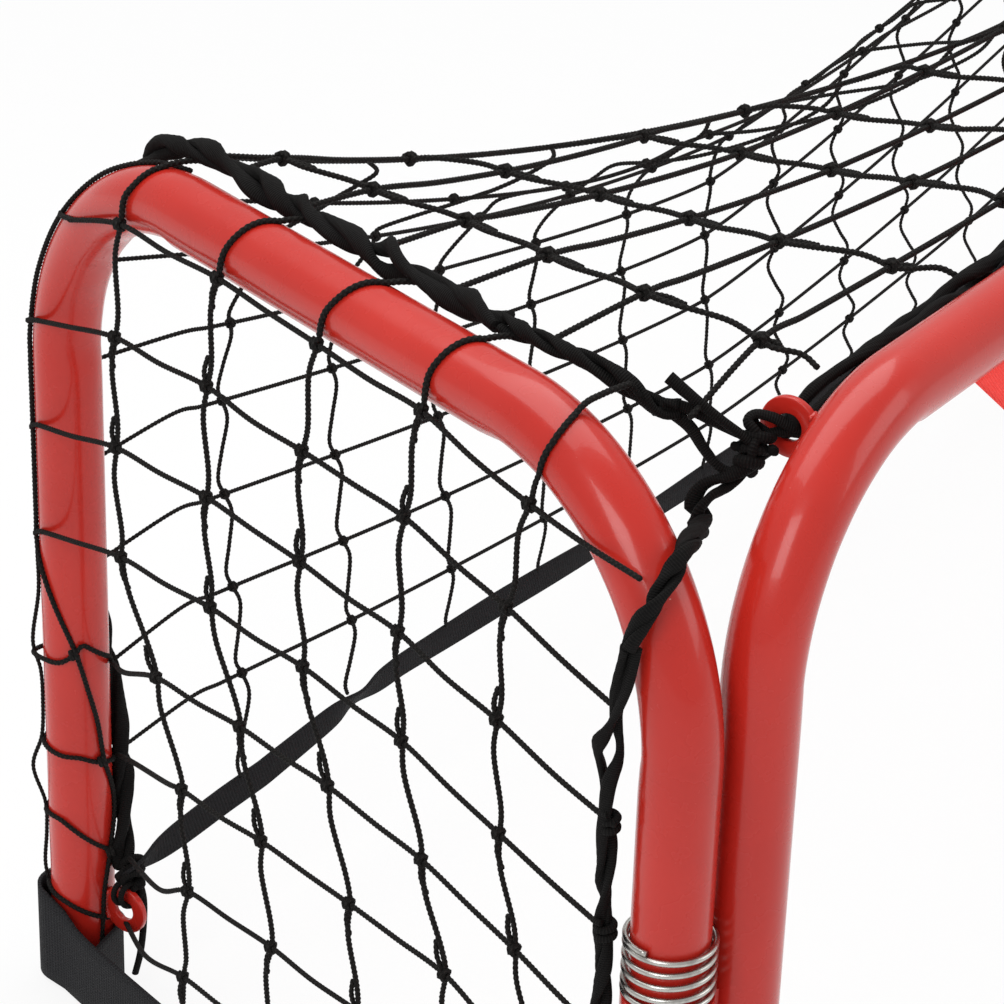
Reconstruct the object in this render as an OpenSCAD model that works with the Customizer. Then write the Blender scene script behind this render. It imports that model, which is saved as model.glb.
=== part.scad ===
// Folding steel hockey goal with rope-bound netting.
// Millimetres. X runs along the crossbar, +Y from the mouth to the back, +Z up.
// The origin is on the ground, under the middle of the goal.

/* [Front frame] */
// Outer diameter of every frame tube
tube_d = 25; // [22:1:28]
// Wall of every frame tube
tube_wall = 1.5; // [1:0.25:2.5]
// Distance between the axes of the two front legs
mouth_w = 1000; // [800:10:1400]
// Height of the crossbar's axis above the ground
crossbar_h = 361; // [340:1:450]
// Bend radius of the front frame, at the tube's axis
front_bend_r = 73; // [50:1:100]

/* [Side frames] */
// Height of the side frame's top bar above the ground, at its axis
side_h = 355; // [330:1:440]
// Length of the side frame, from the axis of its hinge leg to that of its rear post
side_depth = 347; // [280:1:450]
// Bend radius of the side frames, at the tube's axis
side_bend_r = 85; // [50:1:100]
// Angle between the mouth and an open side frame
side_angle = 72; // [65:1:90]

/* [Hinges] */
// Gap between the front leg and the hinge leg beside it
hinge_gap = 3; // [2.8:0.1:6]
// Direction from the front leg to the hinge leg, counted from the mouth's inside
hinge_bearing = 157; // [140:1:165]
// Wall of the hinge sleeves
sleeve_wall = 2; // [1.5:0.1:2.4]
// Length of a hinge sleeve
sleeve_len = 45; // [25:1:60]
// Height of the upper sleeve's top rim
upper_sleeve_top = 190; // [150:1:230]
// Height of the lower sleeve's bottom rim
lower_sleeve_bottom = 62; // [52:1:80]
// Radial running clearance between hinge leg and sleeve
running_fit = 0.1; // [0.05:0.05:0.1]
// Width of the web that joins a sleeve to the front leg
web_w = 9; // [6:1:12]
// Height of the step between the frames' lower ends and the ground
foot_flange = 5; // [3:1:8]
// Length of a foot plug inside its tube
foot_shank = 18; // [10:1:30]
// Slip clearance of the plugs in their tubes
plug_fit = 0.1; // [0.05:0.05:0.3]

/* [Hinge springs] */
// Wire diameter of a hinge spring
wire_d = 2; // [1.6:0.1:2.2]
// Rise of an open turn of the spring
spring_pitch = 4.6; // [3:0.1:6]
// Open turns of the spring
spring_turns = 3.5; // [2.5:0.5:5.5]
// Radial clearance between the spring and the hinge leg
spring_fit = 0.4; // [0.3:0.05:0.5]
// Diameter of the stop pin above the spring
pin_d = 4; // [3:0.5:5]
// How far the stop pin stands out of the hinge leg
pin_reach = 3; // [2.5:0.5:4]
// Thickness of the retaining ring under the lower sleeve
ring_t = 2; // [1.5:0.5:3]
// Seat clearance between pieces that bear on each other
seat_gap = 0.2; // [0.1:0.05:0.3]

/* [Eyelets] */
// Outer diameter of the welded rope eyelets
eyelet_d = 20; // [18:1:26]
// Hole of the rope eyelets
eyelet_hole = 9; // [8.5:0.5:12]
// Plate thickness of the rope eyelets
eyelet_t = 2.5; // [2:0.5:4]
// Depth that an eyelet's rim is cut back to fit the tube
eyelet_bite = 1; // [0.5:0.5:2]
// Angle round the front bend at which the corner eyelet sits, counted up from level
eyelet_bend_angle = 67; // [55:1:75]
// Angle below level at which the front eyelets stand behind their bends
eyelet_droop = 9; // [0:1:15]
// Height of the rear post's eyelet
rear_eyelet_h = 38; // [30:1:80]

/* [Netting] */
// Thickness of the net's cord
cord_d = 3; // [2:0.5:4]
// Spacing of the side net's upright cords
side_mesh_w = 58; // [45:1:70]
// Spacing of the side net's level cords
side_mesh_h = 41; // [30:1:50]
// Cords of the top and back nets from side to side
across_cords = 11; // [8:1:20]
// Level cords of the top net
top_rows = 6; // [5:1:10]
// Level cords of the back net
back_rows = 7; // [5:1:10]
// How far the net's back edge is drawn forward at its middle
net_pull = 125; // [0:5:160]
// How far the net's back edge hangs down at its middle
net_sag = 52; // [0:1:90]
// How far the top net dips between the crossbar and its back edge
net_dip = 14; // [0:1:30]
// How far the back net stands out behind the line from its top to the strap
net_bulge = 60; // [0:5:80]
// Diameter of the border ropes
rope_d = 8; // [6:0.5:8]
// Angle above level at which the crossbar's rope lies behind the crossbar
rope_rise = 20; // [0:5:40]
// Size of the knots that end the crossbar's rope
knot_d = 13; // [9:1:16]
// Gap between soft pieces and what they lie on
soft_gap = 0.3; // [0.2:0.1:0.5]

/* [Webbing and banner] */
// Thickness of the webbing
webbing_t = 1.5; // [1:0.25:2]
// Height of the ground bands at the rear posts
band_h = 38; // [25:1:42]
// Height of the ground bands at the hinge legs
band_front_h = 20; // [15:1:25]
// Clearance of the ground bands above the ground
band_lift = 2; // [1:1:8]
// Width of the rear strap
strap_w = 10; // [8:1:16]
// Height of the rear strap at its ends
strap_h = 54; // [54:1:70]
// Rise of the rear strap at its middle
strap_arch = 12; // [0:1:20]
// How far the rear strap is drawn forward at its middle
strap_pull = 6; // [0:1:20]
// Distance from a front leg's axis to the banner's top corner
banner_inset = 120; // [90:5:200]
// Depth of the banner below the crossbar
banner_drop = 100; // [60:5:160]
// How far each end of the banner slants inwards
banner_slant = 128; // [0:4:160]
// Width of the loops that carry the banner
loop_w = 20; // [12:1:30]
// Spacing of the banner's loops
loop_step = 165; // [100:5:180]

/* [Hidden] */
$fn = 48;

tube_r = tube_d / 2;
bore_r = tube_r - tube_wall;
rope_r = rope_d / 2;
cord_r = cord_d / 2;
wire_r = wire_d / 2;

// Plan of the left side: the hinge leg's axis and the way the side frame points.
hinge_step = tube_d + hinge_gap;
hinge_dx = hinge_step * cos(hinge_bearing);
hinge_dy = hinge_step * sin(hinge_bearing);
post_dy = hinge_dy + side_depth * sin(side_angle);
soft_r = tube_r + soft_gap;
front_reach = soft_r + webbing_t;
rear_reach = post_dy + soft_r + max(cord_d, webbing_t);
mouth_y = -(rear_reach - front_reach) / 2;
hinge_pos = [-mouth_w / 2 + hinge_dx, mouth_y + hinge_dy, 0];

sleeve_in = tube_r + running_fit;
sleeve_out = sleeve_in + sleeve_wall;
spring_mean_r = tube_r + spring_fit + wire_r;
spring_bottom = upper_sleeve_top + seat_gap;
// The wire rises by its own diameter over each closed end turn.
spring_h = 2 * wire_d + spring_turns * spring_pitch;
pin_z = spring_bottom + wire_d + spring_h + seat_gap + pin_d / 2;

// Eyelet centres lie this far from the axis of the tube they are welded to.
eyelet_off = tube_r + eyelet_d / 2 - eyelet_bite;
corner_eyelet = [
    -mouth_w / 2 + front_bend_r * (1 - cos(eyelet_bend_angle)),
    mouth_y + eyelet_off * cos(eyelet_droop),
    crossbar_h - front_bend_r * (1 - sin(eyelet_bend_angle)) - eyelet_off * sin(eyelet_droop)
];

// Places along a side frame: s from the hinge leg towards the rear post, t inwards.
function along(s, t, z) = [s, -t, z];
function turned(p, a) = [p[0] * cos(a) - p[1] * sin(a), p[0] * sin(a) + p[1] * cos(a), p[2]];
function in_goal(p) = turned(p, side_angle) + hinge_pos;

// Side net: the upright cords stand between the leg's rope and the rear post.
net_first = 55;
net_top = side_h - 6;
net_columns = floor((side_depth - side_bend_r / 2 - net_first) / side_mesh_w) + 1;
net_levels = floor((net_top - band_lift - band_h) / side_mesh_h) + 1;
leg_rope_s = 12;
// The band's straight stretch is this much thinner on each face than its loops.
band_inset = 0.1;
// A cord pulled round a tube is this much thinner all round than a straight one.
wrap_squeeze = 0.3;

// Routes of the left ropes, in the side frame's own places; near() counts from the
// height of its top bar. The border rope runs from the rear eyelet up the post and along
// the top bar, the corner rope from there to the knot at the corner eyelet and on to the
// hinge leg, and the leg rope down that leg.
function near(s, t, up) = along(s, t, side_h + up);
border_route = [
    along(333, 10, 54), along(335, 12.5, 72), along(338.5, 15.5, 100), along(344, 17.2, 130),
    along(352, 17, 165), near(356.5, 15, -145), near(356.5, 15, -95), near(355, 15.3, -62),
    near(344, 15.5, -37), near(323, 15.5, -12), near(303, 15.5, 2), near(283, 14.5, 11),
    near(262, 14, 15),
    near(225, 14, 15), near(195, 14, 15), near(165, 14, 15), near(135, 14, 15),
    near(110, 14, 15)
];
corner_route_in = [
    near(109.4, 14, 15), near(88, 17, 14), near(70, 23, 11), near(56, 32, 6)
];
corner_route_out = [
    near(24, 34, -9), near(17, 20, -13), near(9, 5, -17), near(5, -4, -21),
    near(3, -12, -29), near(5, -17, -37), near(5.2, -17, -41)
];
leg_route = [
    near(5.3, -17, -41.6), near(7, -17, -60), near(10, -16.5, -80), near(leg_rope_s, -15.5, -105),
    near(leg_rope_s, -15.5, -135), near(leg_rope_s, -15.5, -165), along(leg_rope_s, -15.5, 160),
    along(leg_rope_s, -15.5, 130), along(leg_rope_s, -15.5, 100), along(leg_rope_s, -15.5, 70),
    along(leg_rope_s, -15.5, 46)
];
// Left edge of the top net, from the corner eyelet to the rear corner, and of the back
// net from there down the rear post's rope.
net_edge = [
    corner_eyelet + [5, 15, 4], in_goal(near(66, 37, 10)), in_goal(near(90, 23, 15)),
    in_goal(near(125, 20, 15)), in_goal(near(160, 20, 15)), in_goal(near(195, 20, 15)),
    in_goal(near(230, 20, 15)), in_goal(near(265, 20, 15)), in_goal(near(302, 22.5, 4))
];
net_drop = [
    in_goal(near(303.5, 22.5, 0.5)), in_goal(near(329, 24, -21)), in_goal(near(345, 24, -45)),
    in_goal(near(352.5, 23.3, -95)), in_goal(along(352.5, 23.3, 210)), in_goal(along(347, 25, 160)),
    in_goal(along(335.5, 23.8, 110)), in_goal(along(329, 19.5, 74))
];

// Ropes behind the crossbar, and the left knot beside its eyelet.
front_rope_off = soft_r + webbing_t + soft_gap + rope_r;
front_rope_y = mouth_y + front_rope_off * cos(rope_rise);
front_rope_z = crossbar_h + front_rope_off * sin(rope_rise);
knot_pos = corner_eyelet - [eyelet_t / 2 + 2 * soft_gap + knot_d / 2, -6, 5];
net_off = rope_r + cord_r + soft_gap;

strap_end = in_goal(along(side_depth, 0, strap_h)) + [eyelet_t / 2 + 1, -eyelet_off, 0];

// ---------- sweeps ----------

function unit(v) = v / norm(v);
function heading(p, i) =
    i == 0 ? unit(p[1] - p[0]) :
    i == len(p) - 1 ? unit(p[i] - p[i - 1]) :
    unit(unit(p[i + 1] - p[i]) + unit(p[i] - p[i - 1]));
function carried(p, side, i = 0) =
    i == len(p) ? [] :
    let (t = heading(p, i), n = unit(side - (side * t) * t))
    concat([n], carried(p, n, i + 1));

// Sweeps a section, a list of [across, up] points, along a route of points.
module sweep(route, section, side) {
    m = len(section);
    last = len(route) - 1;
    sides = carried(route, side);
    points = [
        for (i = [0:last])
            let (t = heading(route, i), a = sides[i], b = cross(t, a))
            for (q = section) route[i] + q[0] * a + q[1] * b
    ];
    walls = [
        for (i = [0:last - 1], k = [0:m - 1])
            let (j = (k + 1) % m, lo = i * m, hi = lo + m)
            each [[lo + k, hi + k, lo + j], [lo + j, hi + k, hi + j]]
    ];
    caps = [
        for (k = [1:m - 2]) each [[0, k, k + 1], [last * m, last * m + k + 1, last * m + k]]
    ];
    polyhedron(points = points, faces = concat(walls, caps), convexity = 6);
}

function ring_section(r, n) = [for (k = [0:n - 1]) r * [cos(360 * k / n), sin(360 * k / n)]];

module cord_along(route, r, n = 8, side = [0, 0, 1]) sweep(route, ring_section(r, n), side);

// ---------- shared shapes ----------

module mirrored(left) mirror([left ? 0 : 1, 0, 0]) children();

module at_hinge(left)
    mirrored(left) translate(hinge_pos) rotate([0, 0, side_angle]) children();

module upright_tube(z0, z1) translate([0, 0, z0]) difference() {
    cylinder(r = tube_r, h = z1 - z0);
    translate([0, 0, -1]) cylinder(r = bore_r, h = z1 - z0 + 2);
}

// A quarter bend that starts upwards at the origin and ends level along +X.
module quarter_bend(bend_r)
    translate([bend_r, 0, 0]) rotate([90, 0, 0]) rotate([0, 0, 90])
    rotate_extrude(angle = 90) translate([bend_r, 0]) difference() {
        circle(r = tube_r);
        circle(r = bore_r);
    }

module level_tube(length) rotate([0, 90, 0]) difference() {
    cylinder(r = tube_r, h = length);
    translate([0, 0, -1]) cylinder(r = bore_r, h = length + 2);
}

// An arch of bent tube in the XZ plane: two legs, two bends and a level bar.
module tube_arch(span, height, bend_r, leg_bottom) {
    straight = height - bend_r;
    for (end = [0, 1]) translate([end * span, 0, 0]) mirror([end, 0, 0]) {
        upright_tube(leg_bottom, straight);
        translate([0, 0, straight]) quarter_bend(bend_r);
    }
    translate([bend_r, 0, height]) level_tube(span - 2 * bend_r);
}

module foot_plug() {
    difference() {
        cylinder(r = tube_r, h = foot_flange);
        difference() {
            translate([0, 0, -1]) cylinder(r = tube_r + 1, h = 2);
            translate([0, 0, -1]) cylinder(r1 = tube_r - 2, r2 = tube_r, h = 2);
        }
    }
    translate([0, 0, foot_flange]) cylinder(r = bore_r - plug_fit, h = foot_shank);
}

// An eyelet in the YZ plane whose centre is the origin; its tube's axis lies at -Y.
module eyelet_ring() rotate([0, 90, 0]) difference() {
    cylinder(r = eyelet_d / 2, h = eyelet_t, center = true);
    cylinder(r = eyelet_hole / 2, h = eyelet_t + 2, center = true);
}

// ---------- front frame and what is fixed to it ----------

module front_frame() color("#c8332f")
    translate([-mouth_w / 2, mouth_y, 0])
    tube_arch(mouth_w, crossbar_h, front_bend_r, foot_flange);

module hinge_sleeve(left, bottom) color("#c8332f") mirrored(left)
    translate([hinge_pos[0], hinge_pos[1], bottom]) difference() {
        union() {
            cylinder(r = sleeve_out, h = sleeve_len);
            rotate([0, 0, hinge_bearing + 180]) translate([0, -web_w / 2, 2])
                cube([hinge_step, web_w, sleeve_len - 4]);
        }
        translate([0, 0, -1]) cylinder(r = sleeve_in, h = sleeve_len + 2);
        translate([-hinge_dx, -hinge_dy, -1]) cylinder(r = tube_r, h = sleeve_len + 2);
    }

module front_foot(left) color("#1b1b1c") mirrored(left)
    translate([-mouth_w / 2, mouth_y, 0]) foot_plug();

module front_eyelet(left) color("#c8332f") mirrored(left) difference() {
    translate(corner_eyelet) eyelet_ring();
    translate([-mouth_w / 2, mouth_y, crossbar_h - front_bend_r])
        translate([front_bend_r, 0, 0]) rotate([90, 0, 0])
        rotate([0, 0, 90]) rotate_extrude(angle = 90)
        translate([front_bend_r, 0]) circle(r = tube_r);
}

// The rope drops from behind the crossbar into the corner eyelets.
module crossbar_rope() color("#151414") {
    start = corner_eyelet - [eyelet_t / 2 + soft_gap, 0, 0];
    half = [
        start, start + [8, 0, 0], start + [18, -1, 4],
        [start[0] + 42, front_rope_y, front_rope_z], [-250, front_rope_y, front_rope_z]
    ];
    cord_along(concat(half, [for (k = [len(half) - 1:-1:0]) flipped(half[k])]), rope_r);
}

module corner_rope(left) color("#151414") mirrored(left) {
    incoming = [for (p = corner_route_in) in_goal(p)];
    outgoing = [for (p = corner_route_out) in_goal(p)];
    cord_along(concat(incoming, [knot_pos], outgoing), rope_r);
    translate(knot_pos) sphere(r = knot_d / 2);
}

module header_banner() color("#d82a26") {
    half = mouth_w / 2 - banner_inset;
    top = crossbar_h - soft_r - webbing_t;
    translate([0, mouth_y + webbing_t / 2, 0]) rotate([90, 0, 0])
        linear_extrude(webbing_t) polygon([
            [-half, top], [half, top],
            [half - banner_slant, top - banner_drop], [banner_slant - half, top - banner_drop]
        ]);
}

module banner_loops() color("#1b1b1c")
    for (k = [-2:2]) translate([k * loop_step - loop_w / 2, mouth_y, crossbar_h])
        rotate([0, 90, 0]) difference() {
            cylinder(r = soft_r + webbing_t, h = loop_w);
            translate([0, 0, -1]) cylinder(r = soft_r, h = loop_w + 2);
        }

module hinge_spring(left) color("silver") mirrored(left)
    translate([hinge_pos[0], hinge_pos[1], spring_bottom + wire_r]) {
        steps = 18;
        turns = spring_turns + 2;
        // The first and last turns lie closed, one wire above the next.
        rise = function (n)
            n < 1 ? n * wire_d :
            n < turns - 1 ? wire_d + (n - 1) * spring_pitch :
            spring_h - (turns - n) * wire_d;
        route = [
            for (i = [0:turns * steps])
                [spring_mean_r * cos(360 * i / steps), spring_mean_r * sin(360 * i / steps),
                 rise(i / steps)]
        ];
        cord_along(route, wire_r, 8, [1, 0, 0]);
    }

// ---------- side frames and what rides on them ----------

module side_frame(left) color("#c8332f") at_hinge(left)
    tube_arch(side_depth, side_h, side_bend_r, foot_flange);

module rear_foot(left) color("#1b1b1c") at_hinge(left) translate([side_depth, 0, 0]) foot_plug();

module hinge_leg_plug(left) color("#1b1b1c") at_hinge(left) foot_plug();

// The stop pin stands out of the leg's inner side, away from the front leg.
module spring_pin(left) color("silver") mirrored(left)
    translate([hinge_pos[0], hinge_pos[1], pin_z]) rotate([0, 0, side_angle])
    rotate([0, 90, 0]) translate([0, 0, tube_r]) cylinder(r = pin_d / 2, h = pin_reach);

module retaining_ring(left) color("silver") at_hinge(left)
    translate([0, 0, lower_sleeve_bottom - seat_gap - ring_t]) difference() {
        cylinder(r = sleeve_out, h = ring_t);
        translate([0, 0, -1]) cylinder(r = tube_r, h = ring_t + 2);
    }

// The rear eyelet faces straight out of the mouth.
module rear_eyelet(left) color("#c8332f") mirrored(left)
    translate(in_goal(along(side_depth, 0, rear_eyelet_h))) difference() {
        translate([0, -eyelet_off, 0]) eyelet_ring();
        translate([0, 0, -eyelet_d]) cylinder(r = tube_r, h = 2 * eyelet_d);
    }

// Part of a turn of net cord round a tube whose axis is Z.
module cord_wrap(from, to) rotate([0, 0, from]) rotate_extrude(angle = to - from)
    translate([soft_r + wrap_squeeze, wrap_squeeze - cord_r]) square(cord_d - 2 * wrap_squeeze);

// The ground band's outline between its two posts; its top edge falls to the front.
module band_outline(from) translate([0, band_lift]) polygon([
    [from, 0], [side_depth, 0], [side_depth, band_h], [0, band_front_h], [from, band_front_h]
]);

// The flat lattice, inside the outline of the side frame's tube axis.
module side_lattice(front) intersection() {
    union() {
        for (k = [0:net_levels - 1]) translate([front, net_top - k * side_mesh_h - cord_r])
            square([side_depth - front, cord_d]);
        for (k = [0:net_columns - 1]) translate([net_first + k * side_mesh_w - cord_r, 0])
            square([cord_d, side_h]);
    }
    difference() {
        union() {
            square([side_depth, side_h - side_bend_r]);
            translate([side_bend_r, 0]) square([side_depth - 2 * side_bend_r, side_h]);
            for (s = [side_bend_r, side_depth - side_bend_r])
                translate([s, side_h - side_bend_r]) circle(r = side_bend_r);
        }
        translate([0, soft_gap]) band_outline(-1);
        square([side_depth, band_lift + 1]);
    }
}

module side_net(left) color("#1d1a18") at_hinge(left) {
    translate([0, soft_r + cord_d, 0]) rotate([90, 0, 0]) linear_extrude(cord_d)
        side_lattice(leg_rope_s + rope_r + soft_gap);
    for (k = [0:net_levels - 1]) let (z = net_top - k * side_mesh_h)
        if (z < side_h - side_bend_r) translate([side_depth, 0, z]) cord_wrap(-38, 94);
    for (k = [0:net_columns - 1]) let (s = net_first + k * side_mesh_w)
        if (s > side_bend_r && s < side_depth - side_bend_r)
            translate([s, 0, side_h]) rotate([0, 90, 0]) cord_wrap(86, 205);
}

module border_rope(left) color("#151414") at_hinge(left)
    cord_along(border_route, rope_r, 8, [1, 0, 0]);

module leg_rope(left) color("#151414") at_hinge(left) cord_along(leg_route, rope_r, 8, [1, 0, 0]);

module ground_band(left) color("#2b2b2d") at_hinge(left) {
    outer = soft_r + webbing_t;
    // Inside the goal the loop round the rear post stays below the eyelet.
    low = rear_eyelet_h - eyelet_d / 2 - soft_gap;
    difference() {
        union() {
            translate([0, 0, band_lift]) cylinder(r = outer, h = band_front_h);
            translate([side_depth, 0, band_lift]) cylinder(r = outer, h = band_h);
            translate([0, outer - band_inset, 0]) rotate([90, 0, 0])
                linear_extrude(webbing_t - 2 * band_inset) band_outline(0);
        }
        for (s = [0, side_depth]) translate([s, 0, 0]) cylinder(r = soft_r, h = 2 * band_h);
        translate([side_depth - 2 * outer, -2 * outer, low]) cube([4 * outer, 2 * outer, band_h]);
    }
}

// ---------- top net, back net and rear strap ----------

function mix(a, b, f) = a + (b - a) * f;
function belly(u) = 1 - pow(abs(2 * u - 1), 1.8);
function flipped(p) = [-p[0], p[1], p[2]];

function on_route(route, f) =
    let (n = len(route) - 1, i = min(floor(f * n), n - 1)) mix(route[i], route[i + 1], f * n - i);
function across(p, u) = mix(p, flipped(p), u);

// Places on the top net: u from left to right, v from the crossbar to the back.
function left_edge(v) = on_route(net_edge, v);
function front_edge(u) =
    u == 0 || u == 1 ? across(left_edge(0), u) :
    [across(left_edge(0), u)[0], front_rope_y + net_off, front_rope_z];
function fold_edge(u) = across(left_edge(1), u) - belly(u) * [0, net_pull, net_sag];
function top_point(u, v) =
    let (edge = left_edge(v) - mix(left_edge(0), left_edge(1), v))
    mix(front_edge(u), fold_edge(u), v) + (1 - u) * edge + u * flipped(edge)
    - [0, 0, net_dip * belly(u) * sin(180 * v)];

// Places on the back net: u from left to right, v from the fold down to the strap.
function drop_edge(v) = on_route(net_drop, v);
function strap_line(u) =
    across(strap_end, u) + belly(u) * [0, -strap_pull, strap_arch];
function back_point(u, v) =
    let (
        edge = drop_edge(v) - mix(drop_edge(0), drop_edge(1), v),
        top = across(drop_edge(0), u) - belly(u) * [0, net_pull, net_sag],
        foot = u == 0 || u == 1 ? across(drop_edge(1), u) :
            strap_line(u) + [0, 0, strap_w / 2 + soft_gap + cord_r]
    )
    mix(top, foot, v) + (1 - u) * edge + u * flipped(edge)
    + [0, net_bulge * belly(u) * pow(sin(180 * sqrt(v)), 1.3), 0];

module net_sheet(rows, lines, point) {
    for (v = rows) cord_along([for (u = lines) point(u, v)], cord_r, 4);
    for (u = lines) cord_along([for (v = rows) point(u, v)], cord_r, 4, [1, 0, 0]);
}

net_lines = [for (k = [0:across_cords + 1]) k / (across_cords + 1)];

module top_net() color("#1d1a18") net_sheet(
    [for (k = [0:top_rows]) k / top_rows], net_lines, function (u, v) top_point(u, v));

module back_net() color("#1d1a18") net_sheet(
    [for (k = [0:back_rows]) k / back_rows], net_lines, function (u, v) back_point(u, v));

module rear_strap() color("#2b2b2d") {
    half = strap_w / 2;
    thick = webbing_t / 2;
    sweep([for (k = [0:16]) strap_line(k / 16)],
        [[half, thick], [-half, thick], [-half, -thick], [half, -thick]], [0, 0, 1]);
}

front_frame();
hinge_sleeve(true, upper_sleeve_top - sleeve_len);  // upper_sleeve_left
hinge_sleeve(false, upper_sleeve_top - sleeve_len);  // upper_sleeve_right
hinge_sleeve(true, lower_sleeve_bottom);  // lower_sleeve_left
hinge_sleeve(false, lower_sleeve_bottom);  // lower_sleeve_right
front_foot(true);  // front_foot_left
front_foot(false);  // front_foot_right
front_eyelet(true);  // front_eyelet_left
front_eyelet(false);  // front_eyelet_right
crossbar_rope();
corner_rope(true);  // corner_rope_left
corner_rope(false);  // corner_rope_right
header_banner();
banner_loops();
top_net();
back_net();
rear_strap();
hinge_spring(true);  // hinge_spring_left
hinge_spring(false);  // hinge_spring_right
side_frame(true);  // side_frame_left
side_frame(false);  // side_frame_right
rear_foot(true);  // rear_foot_left
rear_foot(false);  // rear_foot_right
hinge_leg_plug(true);  // hinge_leg_plug_left
hinge_leg_plug(false);  // hinge_leg_plug_right
spring_pin(true);  // spring_pin_left
spring_pin(false);  // spring_pin_right
retaining_ring(true);  // retaining_ring_left
retaining_ring(false);  // retaining_ring_right
rear_eyelet(true);  // rear_eyelet_left
rear_eyelet(false);  // rear_eyelet_right
side_net(true);  // side_net_left
side_net(false);  // side_net_right
border_rope(true);  // border_rope_left
border_rope(false);  // border_rope_right
leg_rope(true);  // leg_rope_left
leg_rope(false);  // leg_rope_right
ground_band(true);  // ground_band_left
ground_band(false);  // ground_band_right
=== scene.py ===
import bpy, bmesh, math, random
import numpy as np
from mathutils import Matrix, Vector


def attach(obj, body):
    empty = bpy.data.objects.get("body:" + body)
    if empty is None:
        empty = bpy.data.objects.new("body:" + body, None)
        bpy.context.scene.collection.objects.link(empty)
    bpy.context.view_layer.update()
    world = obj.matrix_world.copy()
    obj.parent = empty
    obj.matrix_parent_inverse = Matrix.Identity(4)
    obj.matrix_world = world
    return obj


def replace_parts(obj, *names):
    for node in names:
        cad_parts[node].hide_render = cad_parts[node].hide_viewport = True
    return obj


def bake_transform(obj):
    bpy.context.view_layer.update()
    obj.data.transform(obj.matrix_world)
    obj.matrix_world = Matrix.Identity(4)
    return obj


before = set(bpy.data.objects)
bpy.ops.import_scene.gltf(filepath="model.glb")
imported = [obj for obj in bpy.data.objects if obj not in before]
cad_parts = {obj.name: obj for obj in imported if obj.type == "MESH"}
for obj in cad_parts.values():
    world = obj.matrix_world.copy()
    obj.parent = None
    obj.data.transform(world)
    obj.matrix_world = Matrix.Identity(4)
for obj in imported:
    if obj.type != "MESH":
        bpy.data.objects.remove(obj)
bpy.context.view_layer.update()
scene = bpy.context.scene
scene.view_settings.view_transform = "Standard"
print("frame loaded:", len(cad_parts), "nodes")

mm = 0.001
tau = 2 * math.pi
# Millimetres. The tube is given by its outer radius, and each bend by that of its middle line.
goal = {
    "tube": 12.5, "wall": 1.5, "mouth": 1000, "mouthY": -171.2285, "crossbar": 361, "frontBend": 73,
    "sideTop": 355, "sideDepth": 347, "sideBend": 85, "sideAngle": math.radians(72),
    "hinge": (-525.774, -160.288), "footFlange": 5,
}


# Places in millimetres: from the left front leg's axis, and along the left side frame,
# s from the hinge leg to the rear post and t inwards.
def fromLeg(x, y, z):
    return np.array((x - goal["mouth"] / 2, y + goal["mouthY"], z), float)


def inGoal(s, t, z):
    c, n = math.cos(goal["sideAngle"]), math.sin(goal["sideAngle"])
    return np.array((goal["hinge"][0] + s * c + t * n, goal["hinge"][1] + s * n - t * c, z), float)


def sideRoute(points):
    return [inGoal(*p) for p in points]


toRight = np.array((-1, 1, 1))


# Finishes.

class Field:
    # Wraps a socket, so that shader maths reads as arithmetic.
    def __init__(self, finish, socket):
        self.finish, self.socket = finish, socket

    def maths(self, operation, *others):
        return self.finish.node("Math", {"operation": operation}, dict(enumerate((self, *others))))

    def __add__(self, other):
        return self.maths("ADD", other)

    __radd__ = __add__

    def __mul__(self, other):
        return self.maths("MULTIPLY", other)

    __rmul__ = __mul__

    def __sub__(self, other):
        return self.maths("SUBTRACT", other)

    def __rsub__(self, other):
        return (self * -1) + other

    def above(self, edge, soft):
        # 0 below the edge, 1 above it, with a soft step between.
        return ((self - edge) * (1 / soft) + 0.5).maths("MAXIMUM", 0.0).maths("MINIMUM", 1.0)

    def sine(self):
        return self.maths("SINE")


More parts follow.
